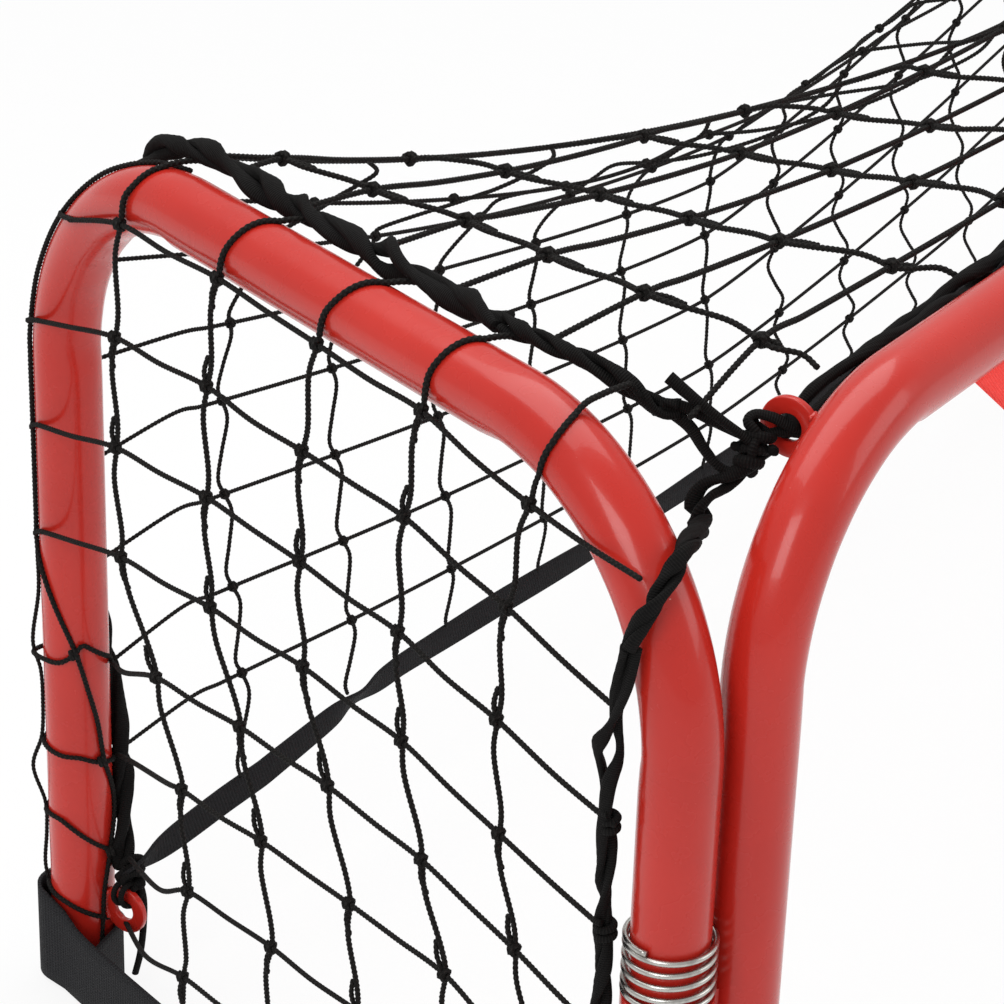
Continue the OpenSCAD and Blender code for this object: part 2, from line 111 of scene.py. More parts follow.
class Finish:
    # A material or a world, whose nodes all come from one method.
    def __init__(self, name, store=bpy.data.materials, output="OutputMaterial"):
        self.made, self.output = store.new(name), output
        self.made.use_nodes = True
        self.tree = self.made.node_tree
        self.tree.nodes.clear()

    def node(self, kind, settings, inputs, out=0):
        # Settings come first, then values or links. A tuple of outputs gives a list of fields.
        made = self.tree.nodes.new("ShaderNode" + kind)
        for key, value in settings.items():
            setattr(made, key, value)
        for key, value in inputs.items():
            slot = made.inputs[key]
            if isinstance(value, Field):
                self.tree.links.new(value.socket, slot)
            else:
                slot.default_value = (*value, 1) if slot.type == "RGBA" else value
        if isinstance(out, tuple):
            return [Field(self, made.outputs[name]) for name in out]
        return Field(self, made.outputs[out])

    def place(self):
        return self.node("TexCoord", {}, {}, "Object")

    def stretched(self, scale):
        return self.node("Mapping", {}, {"Vector": self.place(), "Scale": scale})

    def along(self):
        # The piece's own UV map: turns round it or metres across it, and metres along it.
        return self.node("SeparateXYZ", {}, {"Vector": self.node("TexCoord", {}, {}, "UV")}, (0, 1))

    def noise(self, scale, detail=3.0, rough=0.55, where=None):
        return self.node("TexNoise", {}, {
            "Vector": where or self.place(), "Scale": scale, "Detail": detail, "Roughness": rough})

    def mixed(self, factor, first, second):
        # The colour sockets of a Mix node are its seventh and eighth, and its third output.
        return self.node("Mix", {"data_type": "RGBA"}, {0: factor, 6: first, 7: second}, 2)

    def bump(self, height, strength, distance, below=None):
        inputs = {"Height": height, "Strength": strength, "Distance": distance}
        if below:
            inputs["Normal"] = below
        return self.node("Bump", {}, inputs)

    def surface(self, **sockets):
        inputs = {key.replace("_", " "): value for key, value in sockets.items()}
        return self.finished(self.node("BsdfPrincipled", {}, inputs))

    def finished(self, shader):
        self.node(self.output, {}, {"Surface": shader}, ())
        return self.made


def makeRedPaint():
    look = {"red": (0.53, 0.024, 0.015), "deep": (0.46, 0.018, 0.011), "glintPink": (0.72, 0.30, 0.26),
            "rough": 0.20, "peel": 0.10, "wave": 0.22, "coat": 0.28, "coatRough": 0.06, "specular": 0.3}
    paint = Finish("redPaint")
    base = paint.mixed(paint.noise(14).above(0.5, 0.4), look["deep"], look["red"])
    # Small pale pink specks are painted glints. The stretched streaks are scuffs that also roughen the paint,
    # and their pale pink is painted sheen.
    glintSpecks = paint.noise(640, 2.0).above(0.80, 0.03)
    scuffSheen = paint.noise(60, 4.0, 0.7, paint.stretched((1, 1, 14))).above(0.76, 0.05)
    base = paint.mixed((glintSpecks + scuffSheen * 0.35).above(0.5, 1.0), base, look["glintPink"])
    peel = paint.bump(paint.noise(420, 1.0), look["peel"], 0.0002)
    wavy = paint.bump(paint.noise(38, 1.0), look["wave"], 0.0009, peel)
    return paint.surface(
        Base_Color=base, Roughness=look["rough"] + paint.noise(90) * 0.14 + scuffSheen * 0.2, Normal=wavy,
        Coat_Weight=look["coat"], Coat_Roughness=look["coatRough"], Specular_IOR_Level=look["specular"])


def makeSpringSteel():
    look = {"bright": (0.52, 0.51, 0.48), "stained": (0.30, 0.28, 0.26), "rough": 0.17}
    steel = Finish("springSteel")
    drawn = steel.noise(900, 2.0, 0.6, steel.stretched((1, 1, 0.2)))
    stain = steel.noise(160).above(0.62, 0.2)
    return steel.surface(
        Base_Color=steel.mixed(stain, look["bright"], look["stained"]), Metallic=1.0,
        Roughness=look["rough"] + drawn * 0.18 + stain * 0.1, Normal=steel.bump(drawn, 0.12, 0.0001))


def makeBlackPlastic():
    look = {"dark": (0.013, 0.013, 0.014), "pale": (0.024, 0.024, 0.025), "rough": 0.42}
    plastic = Finish("blackPlastic")
    grain = plastic.noise(1500, 2.0)
    return plastic.surface(
        Base_Color=plastic.mixed(plastic.noise(30).above(0.5, 0.5), look["dark"], look["pale"]),
        Roughness=look["rough"] + grain * 0.2, Normal=plastic.bump(grain, 0.25, 0.00015))


# Each weave gives the pattern that shades the textile, and the one that stands proud of it.
def stitches(look, around, length):
    # Rows of small stitches along a cord, staggered round it.
    rise, lean = length * (tau / look["pitch"]), around * (tau * look["wales"])
    stitch = ((rise + lean).sine() + (rise - lean).sine()) * 0.5
    return stitch, stitch


def ribs(look, around, length):
    # Fine ribs across a flat tubular braid.
    rib = (length * (tau / look["pitch"])).sine()
    return rib, rib + (around * (tau * look["wales"])).sine() * 0.4


def bandWeave(look, across, length):
    warp = (across * (tau / look["warp"])).sine()
    weft = (length * (tau / look["pitch"]) + warp * 0.9).sine()
    return weft, warp * 0.6 + weft


def plainWeave(look, across, length):
    check = (across * (tau / look["pitch"])).sine() * (length * (tau / look["pitch"])).sine()
    return check, check


def makeTextile(name, look, weave, **sockets):
    # shade, edge and soft set how the weave and its fuzz mix the two colours.
    cloth = Finish(name)
    shade, relief = weave(look, *cloth.along())
    fuzz = cloth.noise(look["fuzz"], look["detail"])
    mask = (shade * look["shade"] + fuzz).above(look["edge"], look["soft"])
    return cloth.surface(
        Base_Color=cloth.mixed(mask, look["dark"], look["light"]),
        Roughness=look["rough"] + fuzz * look["dry"],
        Normal=cloth.bump(relief + fuzz * look["fuzzHigh"], look["bump"], look["depth"]), **sockets)


netLook = {"dark": (0.0060, 0.0053, 0.0048), "light": (0.022, 0.020, 0.018), "pitch": 0.0021, "wales": 3,
           "shade": 0.5, "edge": 0.85, "soft": 0.6, "fuzz": 2600, "detail": 2.0, "rough": 0.75, "dry": 0.2,
           "fuzzHigh": 0.7, "bump": 0.8, "depth": 0.0003}
ropeLook = {"dark": (0.0042, 0.0038, 0.0038), "light": (0.012, 0.011, 0.010), "pitch": 0.0008, "wales": 10,
            "shade": 0.4, "edge": 0.8, "soft": 0.7, "fuzz": 1900, "detail": 2.0, "rough": 0.78, "dry": 0.18,
            "fuzzHigh": 0.5, "bump": 0.6, "depth": 0.00022}
webLook = {"dark": (0.0078, 0.0078, 0.0088), "light": (0.020, 0.020, 0.023), "pitch": 0.0017, "warp": 0.0013,
           "shade": 0.3, "edge": 0.7, "soft": 0.7, "fuzz": 1300, "detail": 2.0, "rough": 0.68, "dry": 0.2,
           "fuzzHigh": 0.5, "bump": 0.6, "depth": 0.00025}
clothLook = {"dark": (0.80, 0.032, 0.024), "light": (1.0, 0.070, 0.055), "pitch": 0.0016,
             "shade": 0.3, "edge": 0.55, "soft": 0.7, "fuzz": 500, "detail": 3.0, "rough": 0.74, "dry": 0.15,
             "fuzzHigh": 0.5, "bump": 0.7, "depth": 0.0003}

redPaint = makeRedPaint()
springSteel = makeSpringSteel()
blackPlastic = makeBlackPlastic()
netCord = makeTextile("netCord", netLook, stitches, Specular_IOR_Level=0.2)
ropeCord = makeTextile("ropeCord", ropeLook, ribs, Specular_IOR_Level=0.14)
webbing = makeTextile("webbing", webLook, bandWeave, Specular_IOR_Level=0.22)
# A little emission is painted light: it brightens the cloth where it lies in the crossbar's shade, and stands
# for the light that comes through the thin cloth.
redCloth = makeTextile("redCloth", clothLook, plainWeave,
                       Emission_Color=(0.9, 0.05, 0.04), Emission_Strength=0.22)
print("finishes made")

plainNodes = {
    "upper_sleeve": redPaint, "lower_sleeve": redPaint, "front_foot": blackPlastic,
    "rear_foot": blackPlastic, "hinge_leg_plug": blackPlastic, "spring_pin": springSteel,
    "retaining_ring": springSteel,
}
for start, material in plainNodes.items():
    for end in ("_left", "_right"):
        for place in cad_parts[start + end].material_slots:
            place.material = material


# Mesh helpers.

def finishPiece(piece, material, body=None):
    piece.data.materials.clear()
    piece.data.materials.append(material)
    if body:
        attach(piece, body)
    return piece


def addObject(name, mesh, smooth=True):
    mesh.polygons.foreach_set("use_smooth", [smooth] * len(mesh.polygons))
    piece = bpy.data.objects.new(name, mesh)
    scene.collection.objects.link(piece)
    return piece


def meshPiece(name, verts, faces, uvs):
    mesh = bpy.data.meshes.new(name)
    mesh.from_pydata(verts, [], faces)
    layer = mesh.uv_layers.new(name="UVMap")
    layer.data.foreach_set("uv", np.asarray(uvs, np.float32).ravel())
    mesh.update()
    return addObject(name, mesh)


def fromBmesh(name, bm, smooth=True):
    mesh = bpy.data.meshes.new(name)
    bm.to_mesh(mesh)
    bm.free()
    return addObject(name, mesh, smooth)


def sheetPiece(name, points, deep, uvs, thickness):
    # A sheet from columns of points, each as many points deep, in millimetres.
    faces = [(a, a + 1, a + deep + 1, a + deep) for a in range(len(points) - deep) if (a + 1) % deep]
    piece = meshPiece(name, np.array(points) * mm, faces, [uvs[q] for face in faces for q in face])
    thick = piece.modifiers.new("thickness", "SOLIDIFY")
    thick.thickness, thick.offset = thickness * mm, 0
    return piece


def mirroredMesh(piece):
    # The same piece on the goal's right side.
    twin = piece.copy()
    twin.data = piece.data.copy()
    twin.name = twin.data.name = piece.name.replace("_left", "_right")
    scene.collection.objects.link(twin)
    twin.data.transform(Matrix.Diagonal((-1, 1, 1, 1)))
    twin.data.flip_normals()
    return twin


def finishPair(left, material, body, node):
    # Finishes a left piece and its twin. A body or node that ends in _ is one of a pair.
    for piece, end in ((left, "left"), (mirroredMesh(left), "right")):
        finishPiece(piece, material, body + end if body.endswith("_") else body)
        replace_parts(piece, node + end)


def runAlong(route):
    # The length of a route up to each of its points.
    return np.concatenate([[0], np.cumsum(np.linalg.norm(np.diff(route, axis=0), axis=1))])


def smoothRoute(points, step):
    # Rounds a route of chosen points, then spaces it evenly.
    p = np.asarray(points, float)
    if len(p) > 2:
        ends = np.vstack([2 * p[0] - p[1], p, 2 * p[-1] - p[-2]])
        fine = []
        for k in range(len(p) - 1):
            a, b, c, d = ends[k:k + 4]
            f = np.linspace(0, 1, 13)[:-1, None]
            fine.append(0.5 * (2 * b + (c - a) * f + (2 * a - 5 * b + 4 * c - d) * f ** 2
                               + (3 * b - a - 3 * c + d) * f ** 3))
        p = np.vstack(fine + [p[-1:]])
    run = runAlong(p)
    count = max(2, int(round(run[-1] / step)) + 1)
    spots = np.linspace(0, run[-1], count)
    return np.stack([np.interp(spots, run, p[:, k]) for k in range(3)], -1)


def frames(route, side):
    # Two directions across a route at each point, turning as little as they can.
    ahead = np.gradient(route, axis=0)
    ahead /= np.linalg.norm(ahead, axis=1)[:, None]
    first, held = [], np.asarray(side, float)
    for t in ahead:
        held = held - (held @ t) * t
        size = np.linalg.norm(held)
        held = held / size if size > 1e-6 else np.cross(t, (0.3, 0.5, 0.8))
        first.append(held)
    first = np.array(first)
    return first, np.cross(ahead, first)


class CordPiece:
    # Gathers cords in millimetres and makes one mesh of them.
    def __init__(self):
        self.verts, self.faces, self.uvs, self.count = [], [], [], 0

    def sweep(self, route, section, side=(0.13, 0.2, 1), bead=0.0, turn=None, grow=None):
        # bead swells every other ring, turn twists the section, and grow scales it along the way.
        route = np.asarray(route, float)
        m, n = len(section), len(route)
        first, second = frames(route, side)
        if turn is not None:
            c, s = np.cos(turn)[:, None], np.sin(turn)[:, None]
            first, second = first * c + second * s, second * c - first * s
        size = np.ones(n) + bead * (np.arange(n) % 2 * 2 - 1)
        if grow is not None:
            size = size * grow
        section = np.asarray(section, float)
        ring = (route[:, None, :] + first[:, None, :] * (section[None, :, 0, None] * size[:, None, None])
                + second[:, None, :] * (section[None, :, 1, None] * size[:, None, None]))
        self.verts.append(ring.reshape(-1, 3))
        run = runAlong(route) * mm
        for i in range(n - 1):
            low, high = self.count + i * m, self.count + (i + 1) * m
            for k in range(m):
                j = (k + 1) % m
                self.faces.append((low + k, low + j, high + j, high + k))
                a, b = k / m, (k + 1) / m
                self.uvs += [(a, run[i]), (b, run[i]), (b, run[i + 1]), (a, run[i + 1])]
        last = self.count + (n - 1) * m
        self.faces.append(tuple(self.count + k for k in reversed(range(m))))
        self.faces.append(tuple(last + k for k in range(m)))
        self.uvs += [(k / m, run[0]) for k in reversed(range(m))] + [(k / m, run[-1]) for k in range(m)]
        self.count += n * m

    def build(self, name):
        return meshPiece(name, np.vstack(self.verts) * mm, self.faces, self.uvs)


def oval(a, b, sides):
    return [(a * math.cos(tau * k / sides), b * math.sin(tau * k / sides)) for k in range(sides)]


thread = {"radius": 0.95, "step": 0.85, "sides": 6, "bead": 0.13, "lie": 0.85, "tail": 12, "tailRadius": 0.92}
hitch = {"turns": 1.6, "long": 2.6, "reach": 1.75, "thick": 1.05, "bead": 0.08, "points": 15}


def threadRoute(points):
    return smoothRoute(points, thread["step"])


def layThread(piece, route, radius=thread["radius"], grow=None):
    piece.sweep(route, oval(radius, radius, thread["sides"]), bead=thread["bead"], grow=grow)


def addKnot(piece, centre, along, across, radius=thread["radius"]):
    # One thread looped round the other, in sizes that are times its radius.
    along = along / np.linalg.norm(along)
    across = across - (across @ along) * along
    across = across / np.linalg.norm(across)
    up = np.cross(along, across)
    coil = []
    for f in np.linspace(0, 1, hitch["points"]):
        a = tau * hitch["turns"] * f
        coil.append(centre + along * (f - 0.5) * radius * hitch["long"]
                    + (across * math.cos(a) + up * math.sin(a)) * radius * hitch["reach"])
    thick = radius * hitch["thick"]
    piece.sweep(coil, oval(thick, thick, thread["sides"]), bead=hitch["bead"])


# Tubes.

tubing = {"sides": 64, "legSteps": 30, "barSteps": 24, "bendSteps": 30}
# The die's dent: its depth, how it fades across the tube, its ripples, and where it starts on the
# leg and stops on the bar, with the reach that is looked at.
die = {"depth": 1.7, "fade": 1.5, "ripple": 0.10, "ripples": 22, "legStart": -3, "barStop": 4, "ease": 7,
       "alongBar": 6, "downLeg": 9}


def dentBend(v, dx, dz, flip, bend):
    # The bending die flattens the inside of a bend, and marks where it starts.
    inArc = dx < 0 and dz > 0
    reach = math.hypot(dx, dz) if inArc else (-dx if dz <= 0 else dz)
    inward = (bend - reach) / goal["tube"]
    away = Vector((dx * flip, 0, dz if inArc else 0))
    if inward <= 0 or away.length == 0:
        return
    turned = math.atan2(max(dz, 0), max(-dx, 0.01)) if dx < 0 else math.pi / 2
    start = max(0, min(1, (dz - die["legStart"]) / die["ease"])) if dz < 12 else 1
    stop = max(0, min(1, (die["barStop"] - dx) / die["ease"])) if dx > -12 else 1
    ripple = 1 + die["ripple"] * math.sin(turned * die["ripples"])
    v.co += away.normalized() * (die["depth"] * start * stop * inward ** die["fade"] * ripple)


def bendTube(name, span, height, bend, at, angle):
    # A bent tube: up one leg, over the bar and down the other leg.
    rise = height - bend
    bm = bmesh.new()
    bmesh.ops.create_circle(bm, cap_ends=False, segments=tubing["sides"], radius=goal["tube"],
                            matrix=Matrix.Translation((0, 0, goal["footFlange"])))

    def pull(edges, move, steps):
        for _ in range(steps):
            made = bmesh.ops.extrude_edge_only(bm, edges=edges)["geom"]
            verts = [g for g in made if isinstance(g, bmesh.types.BMVert)]
            bmesh.ops.translate(bm, vec=Vector(move) / steps, verts=verts)
            edges = [g for g in made if isinstance(g, bmesh.types.BMEdge) and len(g.link_faces) == 1]
        return edges

    def turn(edges, centre):
        made = bmesh.ops.spin(bm, geom=edges, cent=centre, axis=(0, 1, 0), dvec=(0, 0, 0), angle=math.pi / 2,
                              steps=tubing["bendSteps"], use_merge=False, use_normal_flip=False,
                              use_duplicate=False)
        return [g for g in made["geom_last"] if isinstance(g, bmesh.types.BMEdge)]

    edges = pull(bm.edges[:], (0, 0, rise - goal["footFlange"]), tubing["legSteps"])
    edges = turn(edges, (bend, 0, rise))
    edges = pull(edges, (span - 2 * bend, 0, 0), tubing["barSteps"])
    edges = turn(edges, (span - bend, 0, rise))
    pull(edges, (0, 0, goal["footFlange"] - rise), tubing["legSteps"])
    for v in bm.verts:
        for centre, flip in ((bend, 1), (span - bend, -1)):
            dx, dz = (v.co.x - centre) * flip, v.co.z - rise
            if dx < die["alongBar"] and dz > -die["downLeg"]:
                dentBend(v, dx, dz, flip, bend)
    bmesh.ops.rotate(bm, cent=(0, 0, 0), matrix=Matrix.Rotation(angle, 3, "Z"), verts=bm.verts)
    bmesh.ops.translate(bm, vec=at, verts=bm.verts)
    bmesh.ops.scale(bm, vec=(mm, mm, mm), verts=bm.verts)
    bmesh.ops.recalc_face_normals(bm, faces=bm.faces)
    tube = fromBmesh(name, bm)
    wall = tube.modifiers.new("wall", "SOLIDIFY")
    wall.thickness, wall.offset, wall.use_even_offset = goal["wall"] * mm, -1, True
    return tube


frontTube = bendTube("front_tube", goal["mouth"], goal["crossbar"], goal["frontBend"],
                     (-goal["mouth"] / 2, goal["mouthY"], 0), 0)
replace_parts(finishPiece(frontTube, redPaint, "front"), "front_frame")
sideTube = bendTube("side_tube_left", goal["sideDepth"], goal["sideTop"], goal["sideBend"],
                    (*goal["hinge"], 0), goal["sideAngle"])
finishPair(sideTube, redPaint, "side_", "side_frame_")
print("tubes bent")


# Eyelets and springs.

eyelet = {"outer": 10, "hole": 4.5, "thick": 2.5, "round": 0.5, "reach": 21.5, "steps": 48,
          "bendAngle": math.radians(67), "droop": math.radians(9), "rearHeight": 38}
weld = {"beads": 9, "size": (2.4, 1.3, 1.5), "run": 11, "out": 9.0, "bow": 5.2, "uneven": 0.3}


def makeEyelet(name, centre, towards):
    # A stamped ring in the YZ plane, with a weld bead where it meets the tube.
    bm = bmesh.new()
    half, r = eyelet["thick"] / 2, eyelet["round"]
    outline = []
    for radius, x, start in ((eyelet["outer"], half, 0), (eyelet["hole"], half, 90),
                             (eyelet["hole"], -half, 180), (eyelet["outer"], -half, 270)):
        cx = x - r if x > 0 else x + r
        cr = radius - r if radius == eyelet["outer"] else radius + r
        for k in range(4):
            a = math.radians(start + 30 * k)
            outline.append(bm.verts.new((cx + r * math.sin(a), 0, cr + r * math.cos(a))))
    ring = [bm.edges.new(ends) for ends in zip(outline, outline[1:] + outline[:1])]
    bmesh.ops.spin(bm, geom=ring, cent=(0, 0, 0), axis=(1, 0, 0), dvec=(0, 0, 0), angle=tau,
                   steps=eyelet["steps"], use_merge=True, use_normal_flip=False, use_duplicate=False)
    bmesh.ops.recalc_face_normals(bm, faces=bm.faces)
    random.seed(5)
    for k in range(weld["beads"]):
        f = k / (weld["beads"] - 1) - 0.5
        middle = Vector(towards) * (weld["out"] - weld["bow"] * f * f) + Vector((0, 0, f * weld["run"]))
        for v in bmesh.ops.create_icosphere(bm, subdivisions=2, radius=1)["verts"]:
            rough = Vector((0, 0, random.uniform(-weld["uneven"], weld["uneven"])))
            v.co = v.co * Vector(weld["size"]) + middle + rough
    bmesh.ops.translate(bm, vec=centre, verts=bm.verts)
    bmesh.ops.scale(bm, vec=(mm, mm, mm), verts=bm.verts)
    return fromBmesh(name, bm)


# The corner eyelet stands part of the way round the front bend, the rear one in front of the post.
onArc, droop = eyelet["bendAngle"], eyelet["droop"]
corner = fromLeg(goal["frontBend"] * (1 - math.cos(onArc)), eyelet["reach"] * math.cos(droop),
                 goal["crossbar"] - goal["frontBend"] * (1 - math.sin(onArc))
                 - eyelet["reach"] * math.sin(droop))
rearRing = inGoal(goal["sideDepth"], 0, eyelet["rearHeight"]) - (0, eyelet["reach"], 0)
for name, centre, towards, body, node in (
        ("corner_eyelet_left", corner, (0, -1, 0), "front", "front_eyelet_"),
        ("post_eyelet_left", rearRing, (0, 1, 0), "side_", "rear_eyelet_")):
    finishPair(makeEyelet(name, centre, towards), redPaint, body, node)

spring = {"mean": 13.9, "bottom": 190.2, "wire": 1.0, "turns": 5.5, "pitch": 4.6, "closed": 2.0, "steps": 60,
          "sides": 12}


def springRise(turn):
    height = 2 * spring["closed"] + (spring["turns"] - 2) * spring["pitch"]
    if turn < 1:
        return turn * spring["closed"]
    if turn < spring["turns"] - 1:
        return spring["closed"] + (turn - 1) * spring["pitch"]
    return height - (spring["turns"] - turn) * spring["closed"]


def springPoint(turn):
    x, y = (middle + spring["mean"] * wave(tau * turn)
            for middle, wave in zip(goal["hinge"], (math.cos, math.sin)))
    return x, y, spring["bottom"] + spring["wire"] + springRise(turn)


coil = CordPiece()
coil.sweep([springPoint(k / spring["steps"]) for k in range(int(spring["steps"] * spring["turns"]) + 1)],
           oval(spring["wire"], spring["wire"], spring["sides"]), (1, 0, 0))
finishPair(coil.build("spring_left"), springSteel, "front", "hinge_spring_")
print("eyelets and springs made")


# Ropes.

def tubeLine(span, height, bend, angle, at):
    # The middle of a bent tube, a point every 1 to 2 mm.
    leg, bar, arc = 260, 400, np.linspace(0, math.pi / 2, 130)
    rise = height - bend
    x = np.concatenate([np.zeros(leg), bend - bend * np.cos(arc), np.linspace(bend, span - bend, bar),
                        span - bend + bend * np.sin(arc), np.full(leg, span)])
    z = np.concatenate([np.linspace(0, rise, leg), rise + bend * np.sin(arc), np.full(bar, height),
                        rise + bend * np.cos(arc), np.linspace(rise, 0, leg)])
    return np.stack([at[0] + x * math.cos(angle), at[1] + x * math.sin(angle), z], -1)


tubeLines = [
    tubeLine(goal["mouth"], goal["crossbar"], goal["frontBend"], 0, (-goal["mouth"] / 2, goal["mouthY"])),
    tubeLine(goal["sideDepth"], goal["sideTop"], goal["sideBend"], goal["sideAngle"], goal["hinge"]),
]


def laidOn(route, radius):
    # Lifts a cord's points out of the tubes, so that it lies on them.
    route = np.array(route, float)
    for line in tubeLines:
        for _ in range(2):
            gap = np.linalg.norm(route[:, None, :] - line[None, :, :], axis=2)
            nearest = gap.argmin(1)
            short = gap[np.arange(len(route)), nearest]
            inside = short < goal["tube"] + radius
            outward = (route - line[nearest]) / np.maximum(short, 0.01)[:, None]
            route[inside] = (line[nearest] + outward * (goal["tube"] + radius))[inside]
    return route


def onBend(along, around, lift=1.0):
    # A place on the side frame's rear bend: degrees from its top bar, and round the tube.
    a, b = math.radians(along), math.radians(around)
    reach = goal["sideBend"] + (goal["tube"] + lift) * math.cos(b)
    centre = goal["sideDepth"] - goal["sideBend"]
    return (centre + reach * math.sin(a), -(goal["tube"] + lift) * math.sin(b),
            goal["sideTop"] - goal["sideBend"] + reach * math.cos(a))


def onPost(across, z, lift=0.9):
    # A place on the rear post's outer front face: millimetres to the right of its middle.
    radius = max(goal["tube"] + lift, abs(across))
    depth = math.sqrt(radius ** 2 - across ** 2)
    return (goal["sideDepth"] - 0.621 * across - 0.784 * depth, 0.784 * across - 0.621 * depth, z)


# Half of each braid's width and thickness, its distance from the rope's middle, and
# how many millimetres the rope takes to turn once.
rope = {"step": 0.9, "sides": 12}
borderBraid = {"wide": 3.3, "flat": 2.1, "apart": 2.1, "twist": 56}
legBraid = {"wide": 2.3, "flat": 1.35, "apart": 1.35, "twist": 60}
barBraid = {"wide": 2.6, "flat": 2.0, "apart": 2.5, "twist": 110}
cornerBraid = {"wide": 2.5, "flat": 1.5, "apart": 1.6, "twist": 36}


def addRope(piece, points, braid, phase=0.0, loose=(), side=(0, 0, 1), hug=False):
    # Two flat braids twisted round each other; loose gives places, in millimetres, where they part.
    route = smoothRoute(points, rope["step"])
    first, second = frames(route, side)
    run = runAlong(route)
    # Slow waves of uneven length keep the turns from looking alike.
    wander = 0.7 * np.sin(run / 23.0 + phase) + 0.35 * np.sin(run / 8.3 + 2 * phase)
    turned = tau * run / braid["twist"] + phase + wander
    apart = braid["apart"] * (1 + 0.12 * np.sin(run / 9.1 + phase))
    for place, width in loose:
        apart = apart + width * np.exp(-((run - place) / 9.0) ** 2)
    for sign in (1, -1):
        across = first * np.cos(turned)[:, None] + second * np.sin(turned)[:, None]
        strand = route + sign * apart[:, None] * across
        if hug:
            strand = laidOn(strand, braid["flat"])
        ease = turned + math.pi / 2 + 0.35 * np.sin(run / 6.1 + sign)
        piece.sweep(strand, oval(braid["wide"], braid["flat"], rope["sides"]), side, turn=ease,
                    grow=1 + 0.07 * np.sin(run / 5.7 + sign) + 0.03 * np.sin(run / 1.9 + 2 * sign))


def addCoil(piece, start, end, reach, turns, thick, first=(0.3, 0.5, 0.8)):
    # A few turns of one braid round a straight middle, as in a knot.
    start, end = np.asarray(start, float), np.asarray(end, float)
    ahead = (end - start) / np.linalg.norm(end - start)
    a = np.cross(ahead, first)
    a = a / np.linalg.norm(a)
    b = np.cross(ahead, a)
    coil = [start + (end - start) * f + (a * math.cos(tau * turns * f) + b * math.sin(tau * turns * f))
            * reach * (1 + 0.12 * math.sin(9 * f)) for f in np.linspace(0, 1, int(26 * turns))]
    piece.sweep(coil, oval(thick, thick * 0.8, 10), ahead)


borderRoute = [(332, 9, 53), (336, 12.5, 72), (341.5, 15, 100), (348, 15, 130), (354, 14.5, 150),
               (357, 13.5, 175), (359, 12.5, 210), (359, 12.5, 260), (356, 13.5, 293), (346, 14.5, 318),
               (329, 15, 338), (313, 14, 354), (296, 12, 366), (277, 12.5, 371), (255, 13.5, 370.5),
               (225, 14, 369), (195, 14, 369), (165, 14, 369), (135, 14, 369), (110, 14, 369)]
cornerIn = [(109.4, 14, 369), (88, 17, 369), (70, 23, 366)]
cornerOut = [(9, 5, 338), (5, -4, 334), (3, -12, 326), (5, -17, 318), (6, -17.5, 314)]
legRoute = [(6, -17.5, 313.4), (8, -17.5, 300), (13, -17, 280), (15, -16, 258), (14, -15.5, 235),
            (13, -15.5, 205), (13, -15.5, 175), (12, -15.5, 145), (13, -15.5, 115), (12, -15.5, 85),
            (12, -15.5, 46)]
knotPlace = corner - (8.35, -6, 5)
facing = {"across": np.array((0.554, -0.833, 0)), "up": np.array((0.380, 0.253, 0.890)),
          "near": np.array((-0.741, -0.493, 0.457))}


def byKnot(across, up, near=0.0):
    # Millimetres across, up and towards the goal's front left, from the corner knot.
    return knotPlace + facing["across"] * across + facing["up"] * up + facing["near"] * near


border = CordPiece()
addRope(border, sideRoute(borderRoute), borderBraid, 0.4, loose=((470, 1.6), (395, 0.8)), hug=True)
# The rope's lower end is knotted round the rear eyelet and the strap's end.
strapKnot = rearRing + (2.5, 0, 16)
addCoil(border, strapKnot + (-2, -4, -3), strapKnot + (5, 2, 2), 3.3, 3.2, 1.8)
addCoil(border, strapKnot + (0, 3, 0), strapKnot + (2, -2, -6), 3.0, 2.2, 1.7)
for shift in (-2.2, 1.4):
    addCoil(border, rearRing + (-0.3, shift - 1.4, 8.2), rearRing + (0.3, shift + 1.4, 8.2), 4.6, 1.3, 1.4)
strapTail = ((2, -3, -3), (2.6, -5, -12), (1.6, -5.5, -24), (0, -5, -36), (-1, -3, -46))
border.sweep(smoothRoute([strapKnot + p for p in strapTail], 1.0), oval(1.5, 1.2, 10))
borderLeft = border.build("border_braid_left")

leg = CordPiece()
addRope(leg, sideRoute(legRoute), legBraid, 1.1, loose=((40, 2.2), (62, 1.2), (118, 0.5)), hug=True)
for z, wide in ((213, 2.6), (172, 2.2), (251, 2.0)):
    # Net knots tied round the rope.
    addCoil(leg, inGoal(12, -16, z - 3), inGoal(12, -16, z + 3), wide, 2.1, 1.3)
legLeft = leg.build("leg_braid_left")
finishPair(borderLeft, ropeCord, "side_", "border_rope_")
finishPair(legLeft, ropeCord, "side_", "leg_rope_")

# The corner knot's strands: across, up and near the knot's own place.
knotStrands = (
    [(-30, 11.5, 1), (-22, 10.6, 1), (-14, 7, 1.5), (-6, 3.5, 1), (1, 2, 0)],
    [(-27, 10, -1), (-20.5, 5, -1), (-16, -1.5, -1), (-11, -7, -0.5), (-5, -8.2, 0), (0, -5.5, 0)],
    [(-27.6, 19.6, 4), (-22, 15, 4.5), (-14, 9, 4.5), (-7, 4.2, 4), (-1, 0, 3)],
    [(13.5, 5.6, 0), (9, 6.4, 1.2), (4, 8.6, 2.2), (-1.2, 9.4, 2.6), (-3.4, 7.2, 3.2), (-1.2, 4.2, 3.8),
     (2, 1, 2)],
    [(13.5, 4.6, -0.6), (8, 4.6, 0), (3.4, 3.6, 0.8), (0, 0.5, 1.5)],
)
ropeTail = [(-3, -6), (-9, -11), (-15, -14.2, 1), (-18, -19.8, 1), (-16.4, -24, 1)]
cornerRope = CordPiece()
addRope(cornerRope, sideRoute(cornerIn) + [byKnot(-31, 11, 1), byKnot(-24, 10.5, 1)], cornerBraid, 2.0)
